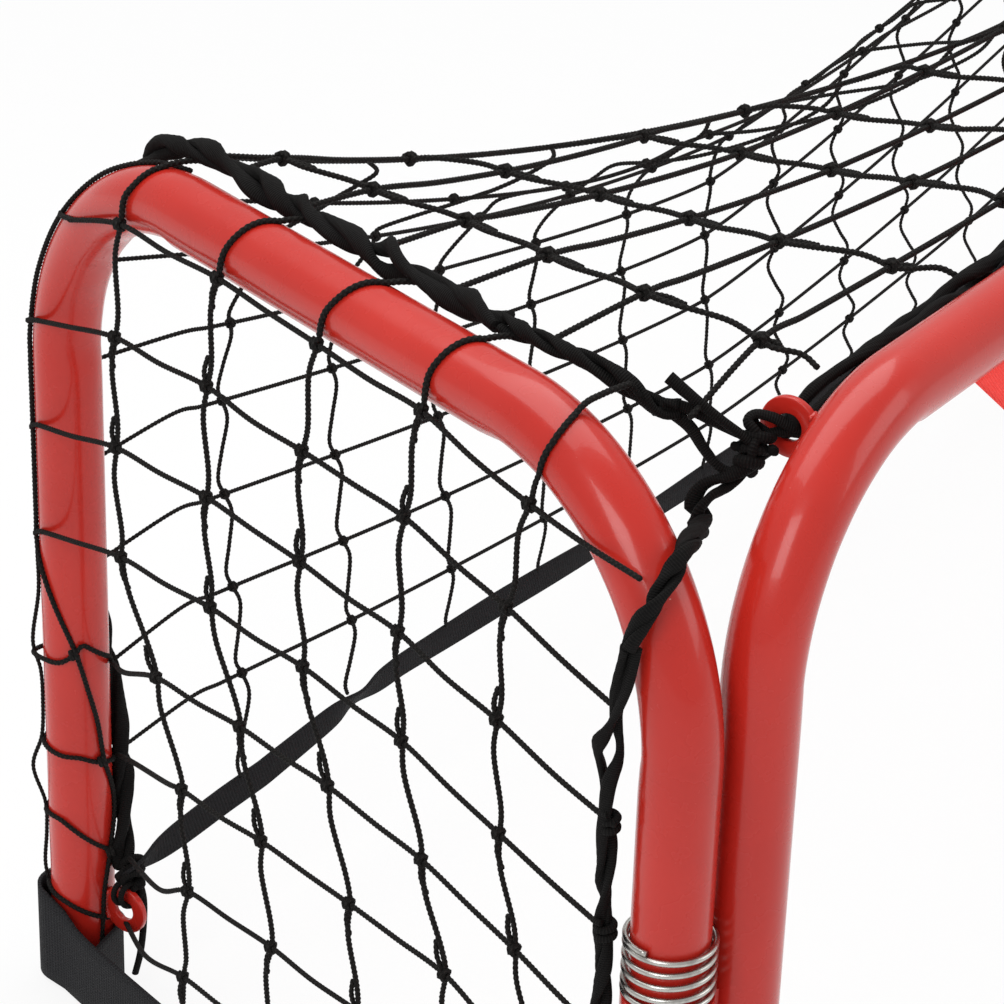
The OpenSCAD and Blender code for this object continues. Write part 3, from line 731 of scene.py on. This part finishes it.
for strand in knotStrands:
    route = smoothRoute([byKnot(*p) for p in strand], rope["step"])
    turn = np.linspace(0.4, 1.9, len(route))
    cornerRope.sweep(route, oval(2.2, 1.5, rope["sides"]), facing["up"], turn=turn)
addCoil(cornerRope, byKnot(1.5, 5.5, 1), byKnot(-3.5, -7.5, 0.5), 3.1, 3.4, 2.0, facing["near"])
addCoil(cornerRope, byKnot(-5, 2, 1.5), byKnot(3, -4, 2.5), 3.0, 1.6, 1.8, facing["near"])
# The end of the net's foremost column, tied to the rope.
cornerTie = (59, 23, 366)
tied = threadRoute([byKnot(-29, 10.5, 2), byKnot(-31.5, 9, 0), inGoal(*cornerTie)])
layThread(cornerRope, tied, thread["radius"] * 1.12)
addRope(cornerRope, [byKnot(*p) for p in ropeTail] + sideRoute(cornerOut), cornerBraid, 0.9,
        loose=((22, 0.7),), hug=True)
cornerLeft = cornerRope.build("corner_braid_left")
for piece, end, sign in ((cornerLeft, "_left", 1), (mirroredMesh(cornerLeft), "_right", -1)):
    finishPiece(piece, ropeCord)
    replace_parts(piece, "corner_rope" + end)
    flip = Vector((sign, 1, 1))
    "side" + end
    Vector(knotPlace * mm) * flip
    Vector(inGoal(90, 17, 368) * mm) * flip
    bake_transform(piece)

# The crossbar's rope lies behind the bar, and a little above its middle.
barRope = {"out": 18.6, "above": math.radians(20)}
frontRopeY = barRope["out"] * math.cos(barRope["above"])
frontRopeZ = goal["crossbar"] + barRope["out"] * math.sin(barRope["above"])
half = [corner + p for p in ((-1.5, 0, 0), (8, 0, 1), (17, -1, 5))]
half += [fromLeg(x, frontRopeY, z) for x, z in (
    (80, 361), (95, 362.5), (120, 363), (150, 364), (185, 366), (260, 366.5), (330, 365.5), (420, 366.5),
    (500, 366))]
crossbarRope = CordPiece()
addRope(crossbarRope, half + [p * toRight for p in reversed(half[:-1])], barBraid, 0.2, hug=True)
barPiece = finishPiece(crossbarRope.build("crossbar_braid"), ropeCord, "front")
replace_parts(barPiece, "crossbar_rope")
print("ropes laid")


# Side nets.

# Knots in the side frame's own places, row by row from the top, rear to front.
netKnots = [
    [(285, 347), (225, 349), (168, 347), (112, 346), (58, 337), (6, 335)],
    [(290, 303), (232, 307), (176, 306), (120, 306), (67, 298)],
    [(291, 260), (233, 265), (177, 265), (122, 264), (70, 257)],
    [(289, 217), (231, 223), (175, 226), (119, 225), (67, 217)],
    [(267, 178), (213, 184), (160, 187), (107, 186), (57, 179)],
    [(251, 139), (200, 144), (147, 147), (93, 149), (45, 141)],
    [(248, 97), (194, 103), (142, 106), (90, 108), (44, 101)],
    [(252, 57), (198, 62), (146, 66), (94, 66), (44, 60)],
]
netOut = -14.6
columns = 5
# Each row's way round the rear post, from the rope behind it.
postRows = [
    [onBend(58, -55), onBend(55, -15), onBend(51, 25), onBend(47, 52), onBend(40, 80), (318, -13.8, 337)],
    [(354, 12.4, 280), (360.3, 2, 282), onPost(-13.2, 285), (347, -13.6, 288), (322, netOut, 295)],
    [(354, 12.4, 238), (360.3, 2, 240), onPost(-13.2, 242), (347, -13.6, 246), (322, netOut, 252)],
    [(354, 12.4, 194), (360.3, 2, 196), onPost(-13.2, 198), (347, -13.6, 202), (322, netOut, 209)],
    [(355, 12, 140), (362, 3, 143), onPost(-16.3, 146), onPost(-6.2, 148), onPost(0.6, 152), onPost(5, 156),
     onPost(13.3, 143.5), (306, -4, 158)],
    [(355, 12, 104), (360, 3, 106), onPost(-13.3, 108), onPost(-6.2, 107.5), onPost(2, 107),
     onPost(8.8, 103.8), onPost(15, 101), (262, -14, 136)],
    [(355, 12, 72), (360, 3, 75), onPost(-13.3, 77), onPost(-6.2, 78), onPost(3, 71), onPost(11.8, 61.6),
     onPost(16.5, 56), (272, -12, 84)],
    [(355, 12, 38), (360, 3, 41), onPost(-13.3, 43), onPost(-4, 40), onPost(8.8, 32.6), onPost(14, 28),
     (284, -11, 47)],
]
# Where each row meets the leg rope: along, out and up. The top row ends at its last knot.
rowEnds = [None, (9, -16.8, 290), (9, -16.8, 251), (13, -16.8, 213), (13, -16.8, 174), (13, -16.8, 135),
           (13, -16.8, 97), (13, -16.8, 58)]
# Where each column is tied to the border rope, and its way over the top bar.
wrapEnds = [275, 213, 152, 103]
barWrap = ((0, 14.5, 367), (0.15, 8, 368), (0.4, 0, 367), (0.65, -8, 363), (0.9, -13, 357))
cornerWrap = [cornerTie, (58, 12, 366), (56, 2, 365), (54, -8, 357), (56, -13.5, 346)]
# The rearmost cord follows the bend's and the post's outer edge, then crosses the post's face.
rearCord = [onBend(8, -38), onBend(18, -16), onBend(32, 14), onBend(48, 42), onBend(66, 52), onBend(82, 54)]
rearCord += [onPost(-13.3, z) for z in (270, 255, 240, 222, 205, 195)]
rearCord += [onPost(*p) for p in (
    (-11, 186), (-6.2, 173), (1.3, 154), (5.8, 136), (8.8, 121), (10.6, 104), (13.3, 81), (11.8, 61),
    (9.5, 44), (8.8, 31), (8, 20))]
slackCord = [onPost(*p) for p in (
    (-13.3, 190), (-13.6, 172), (-16.4, 151), (-13.8, 138), (-13.4, 125), (-14.2, 109), (-18, 95),
    (-13.8, 79), (-13.6, 66), (-14.6, 52), (-13.6, 43))]
slackRadius = 0.8


def netPlace(knot, lift=0.0):
    return (knot[0], netOut + lift, knot[1])


def addSideThread(piece, points, radius=thread["radius"]):
    # Threads flatten a little where they are drawn over a tube.
    layThread(piece, laidOn(threadRoute(sideRoute(points)), radius * thread["lie"]), radius)


sideNet = CordPiece()
random.seed(11)
for row, around, end in zip(netKnots, postRows, rowEnds):
    route = around + [netPlace(q) for q in row] + ([end] if end else [])
    sagged = [route[0]]
    for a, b in zip(route, route[1:]):
        # Each span hangs a little between its knots.
        if abs(a[0] - b[0]) > 35 and a[0] < 300:
            s, t, z = ((p + q) / 2 for p, q in zip(a, b))
            t += random.uniform(-0.6, 0.6)
            sagged.append((s, t, z - random.uniform(0.2, 1.2)))
        sagged.append(b)
    addSideThread(sideNet, sagged)
for j in range(columns):
    path = cornerWrap[:]
    if j < len(wrapEnds):
        tie, knot = wrapEnds[j], netKnots[0][j]
        path = [(tie + (knot[0] - tie) * f, t, z) for f, t, z in barWrap]
    for row, lower in zip(netKnots, netKnots[1:] + [None]):
        path.append(netPlace(row[j], 0.5))
        if lower:
            # The cord bows to either side on its way down to the next knot.
            for f, s, t in ((0.3, 1.6, -0.2), (0.75, -1.1, 0.2)):
                path.append((row[j][0] + (lower[j][0] - row[j][0]) * f + s, netOut + t,
                             row[j][1] + (lower[j][1] - row[j][1]) * f))
    path.append((netKnots[-1][j][0] + 2, netOut + 0.5, 27))
    route = laidOn(threadRoute(sideRoute(path)), thread["radius"] * thread["lie"])
    layThread(sideNet, route, grow=1 + 0.12 * (route[:, 2] > 350))
for k, row in enumerate(netKnots):
    for j, knot in enumerate(row[:columns]):
        centre = inGoal(*netPlace(knot, 0.1))
        nextKnot = row[j + 1] if j + 1 < len(row) else (knot[0] - 50, knot[1] - 2)
        addKnot(sideNet, centre, inGoal(*netPlace(nextKnot)) - centre, np.array((0, 0, 1.0)))
        # The column's thread lies double for a short way above or below the knot.
        down = (j + k) % 2
        if k == 0 and not down:
            continue
        other = netKnots[min(k + 1, len(netKnots) - 1) if down else k - 1][j]
        away = np.array((other[0] - knot[0], other[1] - knot[1] - 0.01))  # Never quite nothing.
        s, z = away / np.linalg.norm(away) * thread["tail"]
        double = [netPlace(knot), (knot[0] + s * 0.5 + 0.9, netOut - 0.9, knot[1] + z * 0.5),
                  (knot[0] + s + 0.3, netOut - 0.3, knot[1] + z)]
        layThread(sideNet, threadRoute(sideRoute(double)), thread["tailRadius"])
addSideThread(sideNet, rearCord)
addSideThread(sideNet, slackCord, slackRadius)
for a, z in ((1.0, 153), (10.2, 104), (12.0, 61.5)):
    addKnot(sideNet, inGoal(*onPost(a, z, 1.4)), np.array((0.6, -0.6, 0.1)), np.array((0, 0, 1.0)))
finishPair(sideNet.build("side_netting_left"), netCord, "side_", "side_net_")
print("side nets tied")


# Top and back nets.

# How far the fold is drawn forwards and sags, the top net dips and the back net bellies out, the
# strap's height at its ends and its own pull forwards, and how far the nets' cords lie from ropes.
net = {"pull": 110, "sag": 41, "dip": 12.5, "bulge": 50, "strapHigh": 54, "strapPull": 6, "overRope": 5.2}
netEdge = [corner + (5, 15, 4)] + sideRoute([
    (66, 37, 365), (90, 23, 370), (125, 20, 370), (160, 20, 370), (195, 20, 370), (230, 20, 370),
    (265, 20, 370), (302, 22.5, 359)])
netDrop = sideRoute([
    (303.5, 22.5, 355.5), (329, 24, 334), (345, 24, 310), (352.5, 23.3, 260), (352.5, 23.3, 210),
    (347, 25, 160), (335.5, 23.8, 110), (329, 19.5, 74)])
strapEnd = inGoal(goal["sideDepth"], 0, net["strapHigh"]) + (2.25, -eyelet["reach"], 0)
# How far the strap rises: millimetres from the side, and up.
strapRise = [(81, 0), (98, 1), (141, 4.5), (166, 5.5), (192, 8.5), (222, 12), (260, 14.5), (334, 13),
             (397, 10), (448, 8.5), (500, 8)]


def onRoute(route, f):
    n = len(route) - 1
    f = min(max(f, 0), 1) * n
    i = min(int(f), n - 1)
    return route[i] + (route[i + 1] - route[i]) * (f - i)


def belly(u, power=1.8):
    return 1 - abs(2 * u - 1) ** power


def foldShift(u):
    # The fold between top and back net is drawn forwards, and sags most evenly along its middle.
    return np.array((0, net["pull"] * belly(u, 1.4), net["sag"] * belly(u, 3.1)))


def across(p, u):
    return p + (p * toRight - p) * u


def topPlace(u, v):
    edge = onRoute(netEdge, v) - (netEdge[0] + (netEdge[-1] - netEdge[0]) * v)
    front = across(netEdge[0], u)
    if 0 < u < 1:
        front = np.array((front[0], goal["mouthY"] + frontRopeY + net["overRope"], frontRopeZ))
    fold = across(netEdge[-1], u) - foldShift(u)
    return (front * (1 - v) + fold * v + (1 - u) * edge + u * edge * toRight
            - np.array((0, 0, net["dip"] * belly(u, 3.1) * math.sin(math.pi * v))))


def strapLine(u):
    place = across(strapEnd, u)
    side = min(place[0] + goal["mouth"] / 2, goal["mouth"] / 2 - place[0])
    rise = np.interp(side, *zip(*strapRise))
    return place + np.array((0, -net["strapPull"] * belly(u), rise))


def swell(v):
    # The back net hangs straight down from the fold before it bellies out.
    if v <= 0 or v >= 1:
        return 0
    ease = min(1, v / 0.48)
    return math.sin(math.pi * math.sqrt(v)) ** 1.3 * ease * ease * (3 - 2 * ease)


def backPlace(u, v):
    edge = onRoute(netDrop, v) - (netDrop[0] + (netDrop[-1] - netDrop[0]) * v)
    edge = edge * (1 - belly(u) * max(0, 1 - v / 0.45))
    upper = across(netDrop[0], u) - foldShift(u)
    foot = across(netDrop[-1], u)
    if 0 < u < 1:
        ease = min(1, min(u, 1 - u) * 40)
        foot = foot * (1 - ease) + (strapLine(u) + (0, 0, net["overRope"])) * ease
    return (upper * (1 - v) + foot * v + (1 - u) * edge + u * edge * toRight
            + np.array((0, net["bulge"] * belly(u) * swell(v), 0)))


topSpan = {"start": 44, "wide": 912}
foldSpan = {"start": 89, "wide": 822}
backSpan = {"start": 81, "wide": 838}


def within(u):
    return min(max(u, 0.001), 0.999)  # Never quite at an edge.


def share(x, span):
    # How far x, counted from the left front leg, is along a span.
    return within((x - span["start"]) / span["wide"])


def halved(low, high, steps, below):
    # Halves a range until it meets the place where below stops being true.
    for _ in range(steps):
        middle = (low + high) / 2
        low, high = (middle, high) if below(middle) else (low, middle)
    return (low + high) / 2


def topFrom(x, y):
    # The net's place at x and y, counted from the left front leg.
    u = share(x, topSpan)
    for _ in range(7):
        v = halved(0.0, 1.0, 18, lambda v: topPlace(u, v)[1] - goal["mouthY"] < y)
        u = within(u + (x - (topPlace(u, v)[0] + goal["mouth"] / 2)) / topSpan["wide"])
    return topPlace(u, v)


# The top net is cut into pieces ring by ring round the hinge. Each ring gives its inner radius, and an angle
# in degrees at which it was to start turning with the side frame; the pieces are not turned.
rings = [(0, 0), (105, 2), (160, 4), (225, 7), (300, 11), (420, 16)]
topPieces = {}
backPieces = {}


def endOf(p):
    return "left" if p[0] < 0 else "right"


def ringOf(p):
    reach = math.hypot(abs(p[0]) - abs(goal["hinge"][0]), p[1] - goal["hinge"][1])
    return endOf(p), max(k for k, (radius, _) in enumerate(rings) if reach >= radius)


def addSplit(pieces, route, which, radius):
    # Lays a thread through the pieces that it crosses.
    route = threadRoute(route)
    keys = [which((a + b) / 2) for a, b in zip(route, route[1:])]
    start = 0
    for k in range(1, len(keys) + 1):
        if k == len(keys) or keys[k] != keys[start]:
            layThread(pieces.setdefault(keys[start], CordPiece()), route[start:k + 1], radius)
            start = k


def bothSides(route, pieces, which, radius):
    addSplit(pieces, route, which, radius)
    addSplit(pieces, [p * toRight for p in route], which, radius)


# Rows run from side to side: their place behind the crossbar, how far they come forward at the
# sides, and where they are tied to the side frame.
top = {"rows": [41, 86, 137, 179, 220, 258], "forward": [4, 8, 18, 17, 18, 15], "radius": 1.05,
       "ties": [36, 91, 139, 178, 220, 258], "doubled": 0.95}
# Front to back cords: x at the crossbar's rope, and at each row.
topLines = [
    [59, 55, 57, 72, 86, 89, 91], [148, 135, 136, 151, 161, 162, 161], [229, 211, 225, 241, 250, 248, 242],
    [306, 294, 304, 316, 322, 322, 320], [384, 375, 382, 389, 393, 394, 393],
    [462, 457, 460, 463, 464, 465, 465],
]


def rowY(j, x):
    side = min(x, goal["mouth"] - x)
    return top["rows"][j] - top["forward"][j] * min(side / 240, 1) ** 0.6


def foldPlace(x):
    return topPlace(share(x, foldSpan), 1.0)


def foldY(x):
    return foldPlace(x)[1] - goal["mouthY"]


for j, tie in enumerate(top["ties"]):
    start = inGoal(tie, 15, 368.5) if j else inGoal(45, 35, 357)
    first = topLines[0][j + 1]
    places = [first] + [x for x in range(80, 500, 20) if x > first + 12] + [500]
    bothSides([start] + [topFrom(x, rowY(j, x)) for x in places], topPieces, ringOf, top["radius"])
addSplit(topPieces, [topPlace(u, 1.0) for u in np.linspace(0.0, 1.0, 41)], ringOf, top["radius"])

for line in topLines:
    stops = [(line[0], 22)]
    for j, x in enumerate(line[1:]):
        if rowY(j, x) < foldY(x) - 5:
            stops.append((x, rowY(j, x)))
    end = line[min(len(stops), 6)]
    stops.append((end, foldY(end)))
    route = [fromLeg(stops[0][0], frontRopeY + 3.5, frontRopeZ - 1.5)]
    for (xa, ya), (xb, yb) in zip(stops, stops[1:]):
        for f, wave in ((0.3, 1.8), (0.72, -1.3), (1.0, 0)):
            route.append(topFrom(xa + (xb - xa) * f + wave, ya + (yb - ya) * f))
    bothSides(route, topPieces, ringOf, top["radius"])
    for (x0, y0), (x, y) in zip(stops, stops[1:-1]):
        for mirror in (np.ones(3), toRight):
            here = topFrom(x, y) * mirror
            along, over = topFrom(x + 10, y) * mirror - here, topFrom(x, y + 10) * mirror - here
            addKnot(topPieces.setdefault(ringOf(here), CordPiece()), here, along, over, top["radius"])
            # The thread lies double for a short way in front of the knot.
            near, far = (topFrom(x + (x0 - x) * f + wave, y + (y0 - y) * f) * mirror
                         for f, wave in ((0.17, 2.0), (0.34, 1.3)))
            addSplit(topPieces, [here, near, far], ringOf, top["radius"] * top["doubled"])

# Rows run from side to side: their height at the posts and in the middle, and where they are tied.
back = {"posts": [335, 305, 268, 232, 190, 149, 112], "middle": [258, 236, 212, 185, 153, 121, 92],
        "ties": [330, 302, 259, 217, 175, 135, 101], "radius": 0.85, "wave": 5, "lead": 45}
# Upright cords: x low on the net, and at the fold. The last is the middle one.
backCords = [(150, 161), (220, 242), (290, 320), (360, 393), (430, 465), (500, 500)]


def backAt(u, z):
    return backPlace(u, halved(0.0, 1.0, 16, lambda v: backPlace(u, v)[2] > z))


def backRowZ(j, u):
    return back["middle"][j] + (back["posts"][j] - back["middle"][j]) * abs(2 * u - 1) ** 1.4


ropeHeights, ropePlaces = zip(*[(q[2], q[:2]) for q in borderRoute[:11]])


def behindPost(z):
    s, t = (np.interp(z, ropeHeights, [q[k] for q in ropePlaces]) for k in (0, 1))
    return inGoal(s, t + 1, z)


for j, tie in enumerate(back["ties"]):
    route = [behindPost(tie)] + [backAt(u, backRowZ(j, u)) for u in np.linspace(0.045, 0.5, 22)]
    bothSides(route, backPieces, endOf, back["radius"])
for low, foldX in backCords:
    u = share(low, backSpan)
    highest = backPlace(u, 0)[2]
    levels = [highest] + [z for z in (backRowZ(j, u) for j in range(len(back["ties"]))) if z < highest - 8]
    levels.append(backPlace(u, 1)[2])
    route = [foldPlace(foldX)]
    for a, b in zip(levels, levels[1:]):
        for f, wave in ((0.25, 1.0), (0.55, 0.1), (0.8, -0.8), (1.0, 0.0)):
            z = a + (b - a) * f
            lead = max(0, 1 - (highest - z) / back["lead"])
            sway = back["wave"] * wave * min(1, abs(a - b) / 36)
            place = share(low + sway + (foldX - low) * lead, backSpan)
            route.append(backAt(place, z) + (0, 1.2 * wave, 0))
    if low < 500:
        bothSides(route, backPieces, endOf, back["radius"])
    else:
        # The middle cord rides with the left half.
        addSplit(backPieces, route, lambda p: "left", back["radius"])
    for z in levels[1:-1]:
        for mirror in (np.ones(3), toRight)[:2 if low < 500 else 1]:
            here = backAt(u, z) * mirror
            addKnot(backPieces["left" if here[0] < 1 else "right"], here, np.array((1.0, 0.1, 0)),
                    np.array((0, 0.1, 1.0)), back["radius"])


def blendRear(piece, end, z):
    # Bakes the piece's place into its mesh.
    flip = -1 if end == "right" else 1
    "side_" + end
    Vector((-0.120 * flip, 0, z))
    Vector((-0.4185 * flip, 0, z))
    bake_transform(piece)


for (end, ring), cords in sorted(topPieces.items()):
    piece = cords.build(f"top_netting_{end}_{ring + 1}")
    finishPiece(piece, netCord)
    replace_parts(piece, "top_net")
    inner, startAngle = rings[ring]
    outer = rings[ring + 1][0] if ring + 1 < len(rings) else inner + 120
    radius = max((inner + outer) / 2, 70)
    flip = -1 if end == "right" else 1
    points = []
    for a in (math.radians(startAngle), goal["sideAngle"]):
        x, y = goal["hinge"][0] + radius * math.cos(a), goal["hinge"][1] + radius * math.sin(a)
        points.append(Vector((x * flip, y, goal["crossbar"])) * mm)
    "side_" + end
    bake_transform(piece)
for end, cords in sorted(backPieces.items()):
    piece = cords.build("back_netting_" + end)
    finishPiece(piece, netCord)
    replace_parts(piece, "back_net")
    blendRear(piece, end, 0.2)
print("top and back nets tied:", len(topPieces) + len(backPieces), "pieces")


# Strap, ground bands and header.

strap = {"wide": 5.4, "thick": 0.8, "twistAt": 229, "twist": 0.6, "turnAt": 84, "turn": 0.9, "step": 2.5}


def flatSection(wide, thick, r=0.4):
    right = [(wide, thick - r), (wide - r, thick), (0, thick)]
    left = [(r - wide, thick), (-wide, thick - r)]
    return right + left + [(x, -z) for x, z in reversed(left)] + [(x, -z) for x, z in reversed(right)]


for end, sign in (("left", 1), ("right", -1)):
    points = [strapLine(u) for u in np.linspace(-0.004, 0.5, 60)]
    if end == "right":
        points = [p * toRight for p in points]
    route = smoothRoute(points, strap["step"])
    side = goal["mouth"] / 2 - np.abs(route[:, 0])
    turn = -0.2 + 0.18 * np.sin(side / 31) + strap["twist"] * np.exp(-((side - strap["twistAt"]) / 11) ** 2)
    turn = turn + strap["turn"] * np.exp(-((side - strap["turnAt"]) / 16) ** 2)
    narrow = 1 - 0.08 * np.exp(-((side - strap["twistAt"]) / 9) ** 2)
    cords = CordPiece()
    cords.sweep(route, flatSection(strap["wide"], strap["thick"]), (0, 0, 1), turn=turn * sign, grow=narrow)
    piece = finishPiece(cords.build("rear_webbing_" + end), webbing)
    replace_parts(piece, "rear_strap")
    blendRear(piece, end, 0.06)

# Heights above the ground: the band's lower edge, and its upper one at each part of its way.
band = {"lift": 2.0, "rear": 42.0, "inner": 27.2, "strip": 34.0, "front": 22.0, "thick": 1.4, "radius": 13.3,
        "slack": 4.0, "proud": 0.9, "steps": 6}


def makeBand():
    # A webbing band sewn round both posts, with a straight run outside them.
    depth, r = goal["sideDepth"], band["radius"]
    outline = [(depth - 32, r + 0.2, 26), (depth - 22, r - 5, 26), (depth - 13, -r + 4, 27)]
    for k in range(29):
        a = math.radians(-128 + 7.5 * k)
        loose = r + band["slack"] * max(0, math.cos(a - 0.85)) ** 2
        high = band["inner"] + (band["rear"] - band["inner"]) * max(0, min(1, (k - 7) / 8))
        outline.append((depth + loose * math.cos(a), loose * math.sin(a), high))
    for k in range(1, 40):
        f = k / 40
        high = band["strip"] + 7 * math.exp(-(depth * f / 12) ** 2)
        high -= (band["strip"] - band["front"]) * max(0, f - 0.25) / 0.75
        wave = 0.6 * math.sin(f * math.pi) * math.sin(f * 19)
        outline.append((depth * (1 - f), r + band["proud"] + wave, high))
    for k in range(49):
        a = math.radians(90 + 7.5 * k)
        outline.append((r * math.cos(a), r * math.sin(a) + (0 if k else band["proud"]), band["front"]))
    points, uvs = [], []
    for (x, y, high), run in zip(outline, runAlong(np.array(outline)[:, :2])):
        for h in range(band["steps"] + 1):
            up = (high - band["lift"]) * h / band["steps"]
            points.append(inGoal(x, -y, band["lift"] + up))
            uvs.append((up * mm, run * mm))
    return sheetPiece("ground_webbing_left", points, band["steps"] + 1, uvs, band["thick"])


finishPair(makeBand(), webbing, "side_", "ground_band_")

# The cloth's half width at the top, its height, how much each end slopes in, and its waves.
header = {"half": 380, "drop": 100, "slant": 128, "top": 346.7, "columns": 120, "rows": 18, "wave": 3.0,
          "thick": 0.7}
hoops = {"count": 5, "apart": 165.0, "radius": 13.5, "wide": 10, "thick": 0.7, "edge": 0.3}


def makeHeader():
    points = []
    for i in range(header["columns"] + 1):
        for h in range(header["rows"] + 1):
            f, g = i / header["columns"], h / header["rows"]
            x = (2 * f - 1) * (header["half"] - header["slant"] * g)
            wave = header["wave"] * g * (math.sin(x / 61) + 0.5 * math.sin(x / 23 + 1))
            points.append((x, goal["mouthY"] + wave, header["top"] - header["drop"] * g))
    uvs = [(x * mm, z * mm) for x, _, z in points]
    return sheetPiece("header_cloth", points, header["rows"] + 1, uvs, header["thick"])


def makeHoops():
    # The webbing loops that hang the cloth from the crossbar.
    piece = CordPiece()
    for k in range(hoops["count"]):
        x = (k - (hoops["count"] - 1) / 2) * hoops["apart"]
        circle = [(x, goal["mouthY"] + hoops["radius"] * math.cos(a),
                   goal["crossbar"] + hoops["radius"] * math.sin(a)) for a in np.linspace(0, tau * 1.02, 60)]
        piece.sweep(circle, flatSection(hoops["wide"], hoops["thick"], hoops["edge"]), (1, 0, 0))
    return piece.build("header_loops")


headerCloth = finishPiece(makeHeader(), redCloth, "front")
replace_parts(headerCloth, "header_banner")
headerLoops = finishPiece(makeHoops(), webbing, "front")
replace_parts(headerLoops, "banner_loops")
print("strap, bands and header made")


# Floor, light and camera.

studio = {"floorRadius": 8.0, "floorGlow": 0.86, "world": 0.62}
# Each softbox: its place, what it points at, width, depth and power.
lamps = {
    "softbox_top": ((-0.1, 0.5, 1.9), (-0.35, 0, 0.2), 2.2, 1.4, 24),
    "softbox_key": ((-2.0, -0.2, 1.5), (-0.45, 0, 0.2), 0.9, 0.9, 12),
    "softbox_fill": ((0.6, -2.0, 1.2), (-0.3, -0.1, 0.2), 1.2, 1.2, 8),
}
shot = {"place": (-1.2923, -0.6035, 0.8098), "yaw": 56.37, "pitch": 27.18, "roll": 1.91, "lens": 125.5,
        "sensor": 36}


def makeFloor():
    # White where the camera, a reflection or a clear surface sees it, and shaded by the object.
    bm = bmesh.new()
    bmesh.ops.create_circle(bm, cap_ends=True, segments=96, radius=studio["floorRadius"])
    floor = fromBmesh("studio_floor", bm, False)
    look = Finish("studioFloor")
    speckle = look.noise(40)
    matt = look.node("BsdfPrincipled", {}, {
        "Base Color": look.mixed(speckle, (0.80, 0.80, 0.80), (0.84, 0.84, 0.84)),
        "Roughness": 0.7 + speckle * 0.1})
    glow = look.node("Emission", {}, {"Strength": 1.0})
    camera, glossy, through = look.node(
        "LightPath", {}, {}, ("Is Camera Ray", "Is Glossy Ray", "Is Transmission Ray"))
    seen = (camera + glossy + through).maths("MINIMUM", 1.0) * studio["floorGlow"]
    floor.data.materials.append(look.finished(look.node("MixShader", {}, {0: seen, 1: matt, 2: glow})))


def makeWorld():
    look = Finish("studio", bpy.data.worlds, "OutputWorld")
    soft, white = (look.node("Background", {}, {"Color": (1, 1, 1), "Strength": power})
                   for power in (studio["world"], 1.0))
    camera, through = look.node("LightPath", {}, {}, ("Is Camera Ray", "Is Transmission Ray"))
    seen = camera.maths("MAXIMUM", through)
    scene.world = look.finished(look.node("MixShader", {}, {0: seen, 1: soft, 2: white}))


def addLamp(name, place, towards, width, depth, power):
    lamp = bpy.data.lights.new(name, "AREA")
    lamp.shape, lamp.size, lamp.size_y, lamp.energy = "RECTANGLE", width, depth, power
    holder = bpy.data.objects.new(name, lamp)
    holder.location = place
    holder.rotation_euler = (Vector(towards) - Vector(place)).to_track_quat("-Z", "Y").to_euler()
    scene.collection.objects.link(holder)


def makeCamera():
    yaw, pitch, roll = (math.radians(shot[k]) for k in ("yaw", "pitch", "roll"))
    ahead = Vector((math.sin(yaw) * math.cos(pitch), math.cos(yaw) * math.cos(pitch), -math.sin(pitch)))
    right = Vector((math.cos(yaw), -math.sin(yaw), 0))
    up = right.cross(ahead)
    x = right * math.cos(roll) + up * math.sin(roll)
    y = up * math.cos(roll) - right * math.sin(roll)
    camera = bpy.data.objects.new("camera", bpy.data.cameras.new("camera"))
    camera.data.lens, camera.data.sensor_width = shot["lens"], shot["sensor"]
    turned = Matrix((x, y, -ahead)).transposed().to_4x4()
    camera.matrix_world = Matrix.Translation(shot["place"]) @ turned
    scene.collection.objects.link(camera)
    scene.camera = camera


makeFloor()
makeWorld()
for name, settings in lamps.items():
    addLamp(name, *settings)
makeCamera()
print("light and camera set")
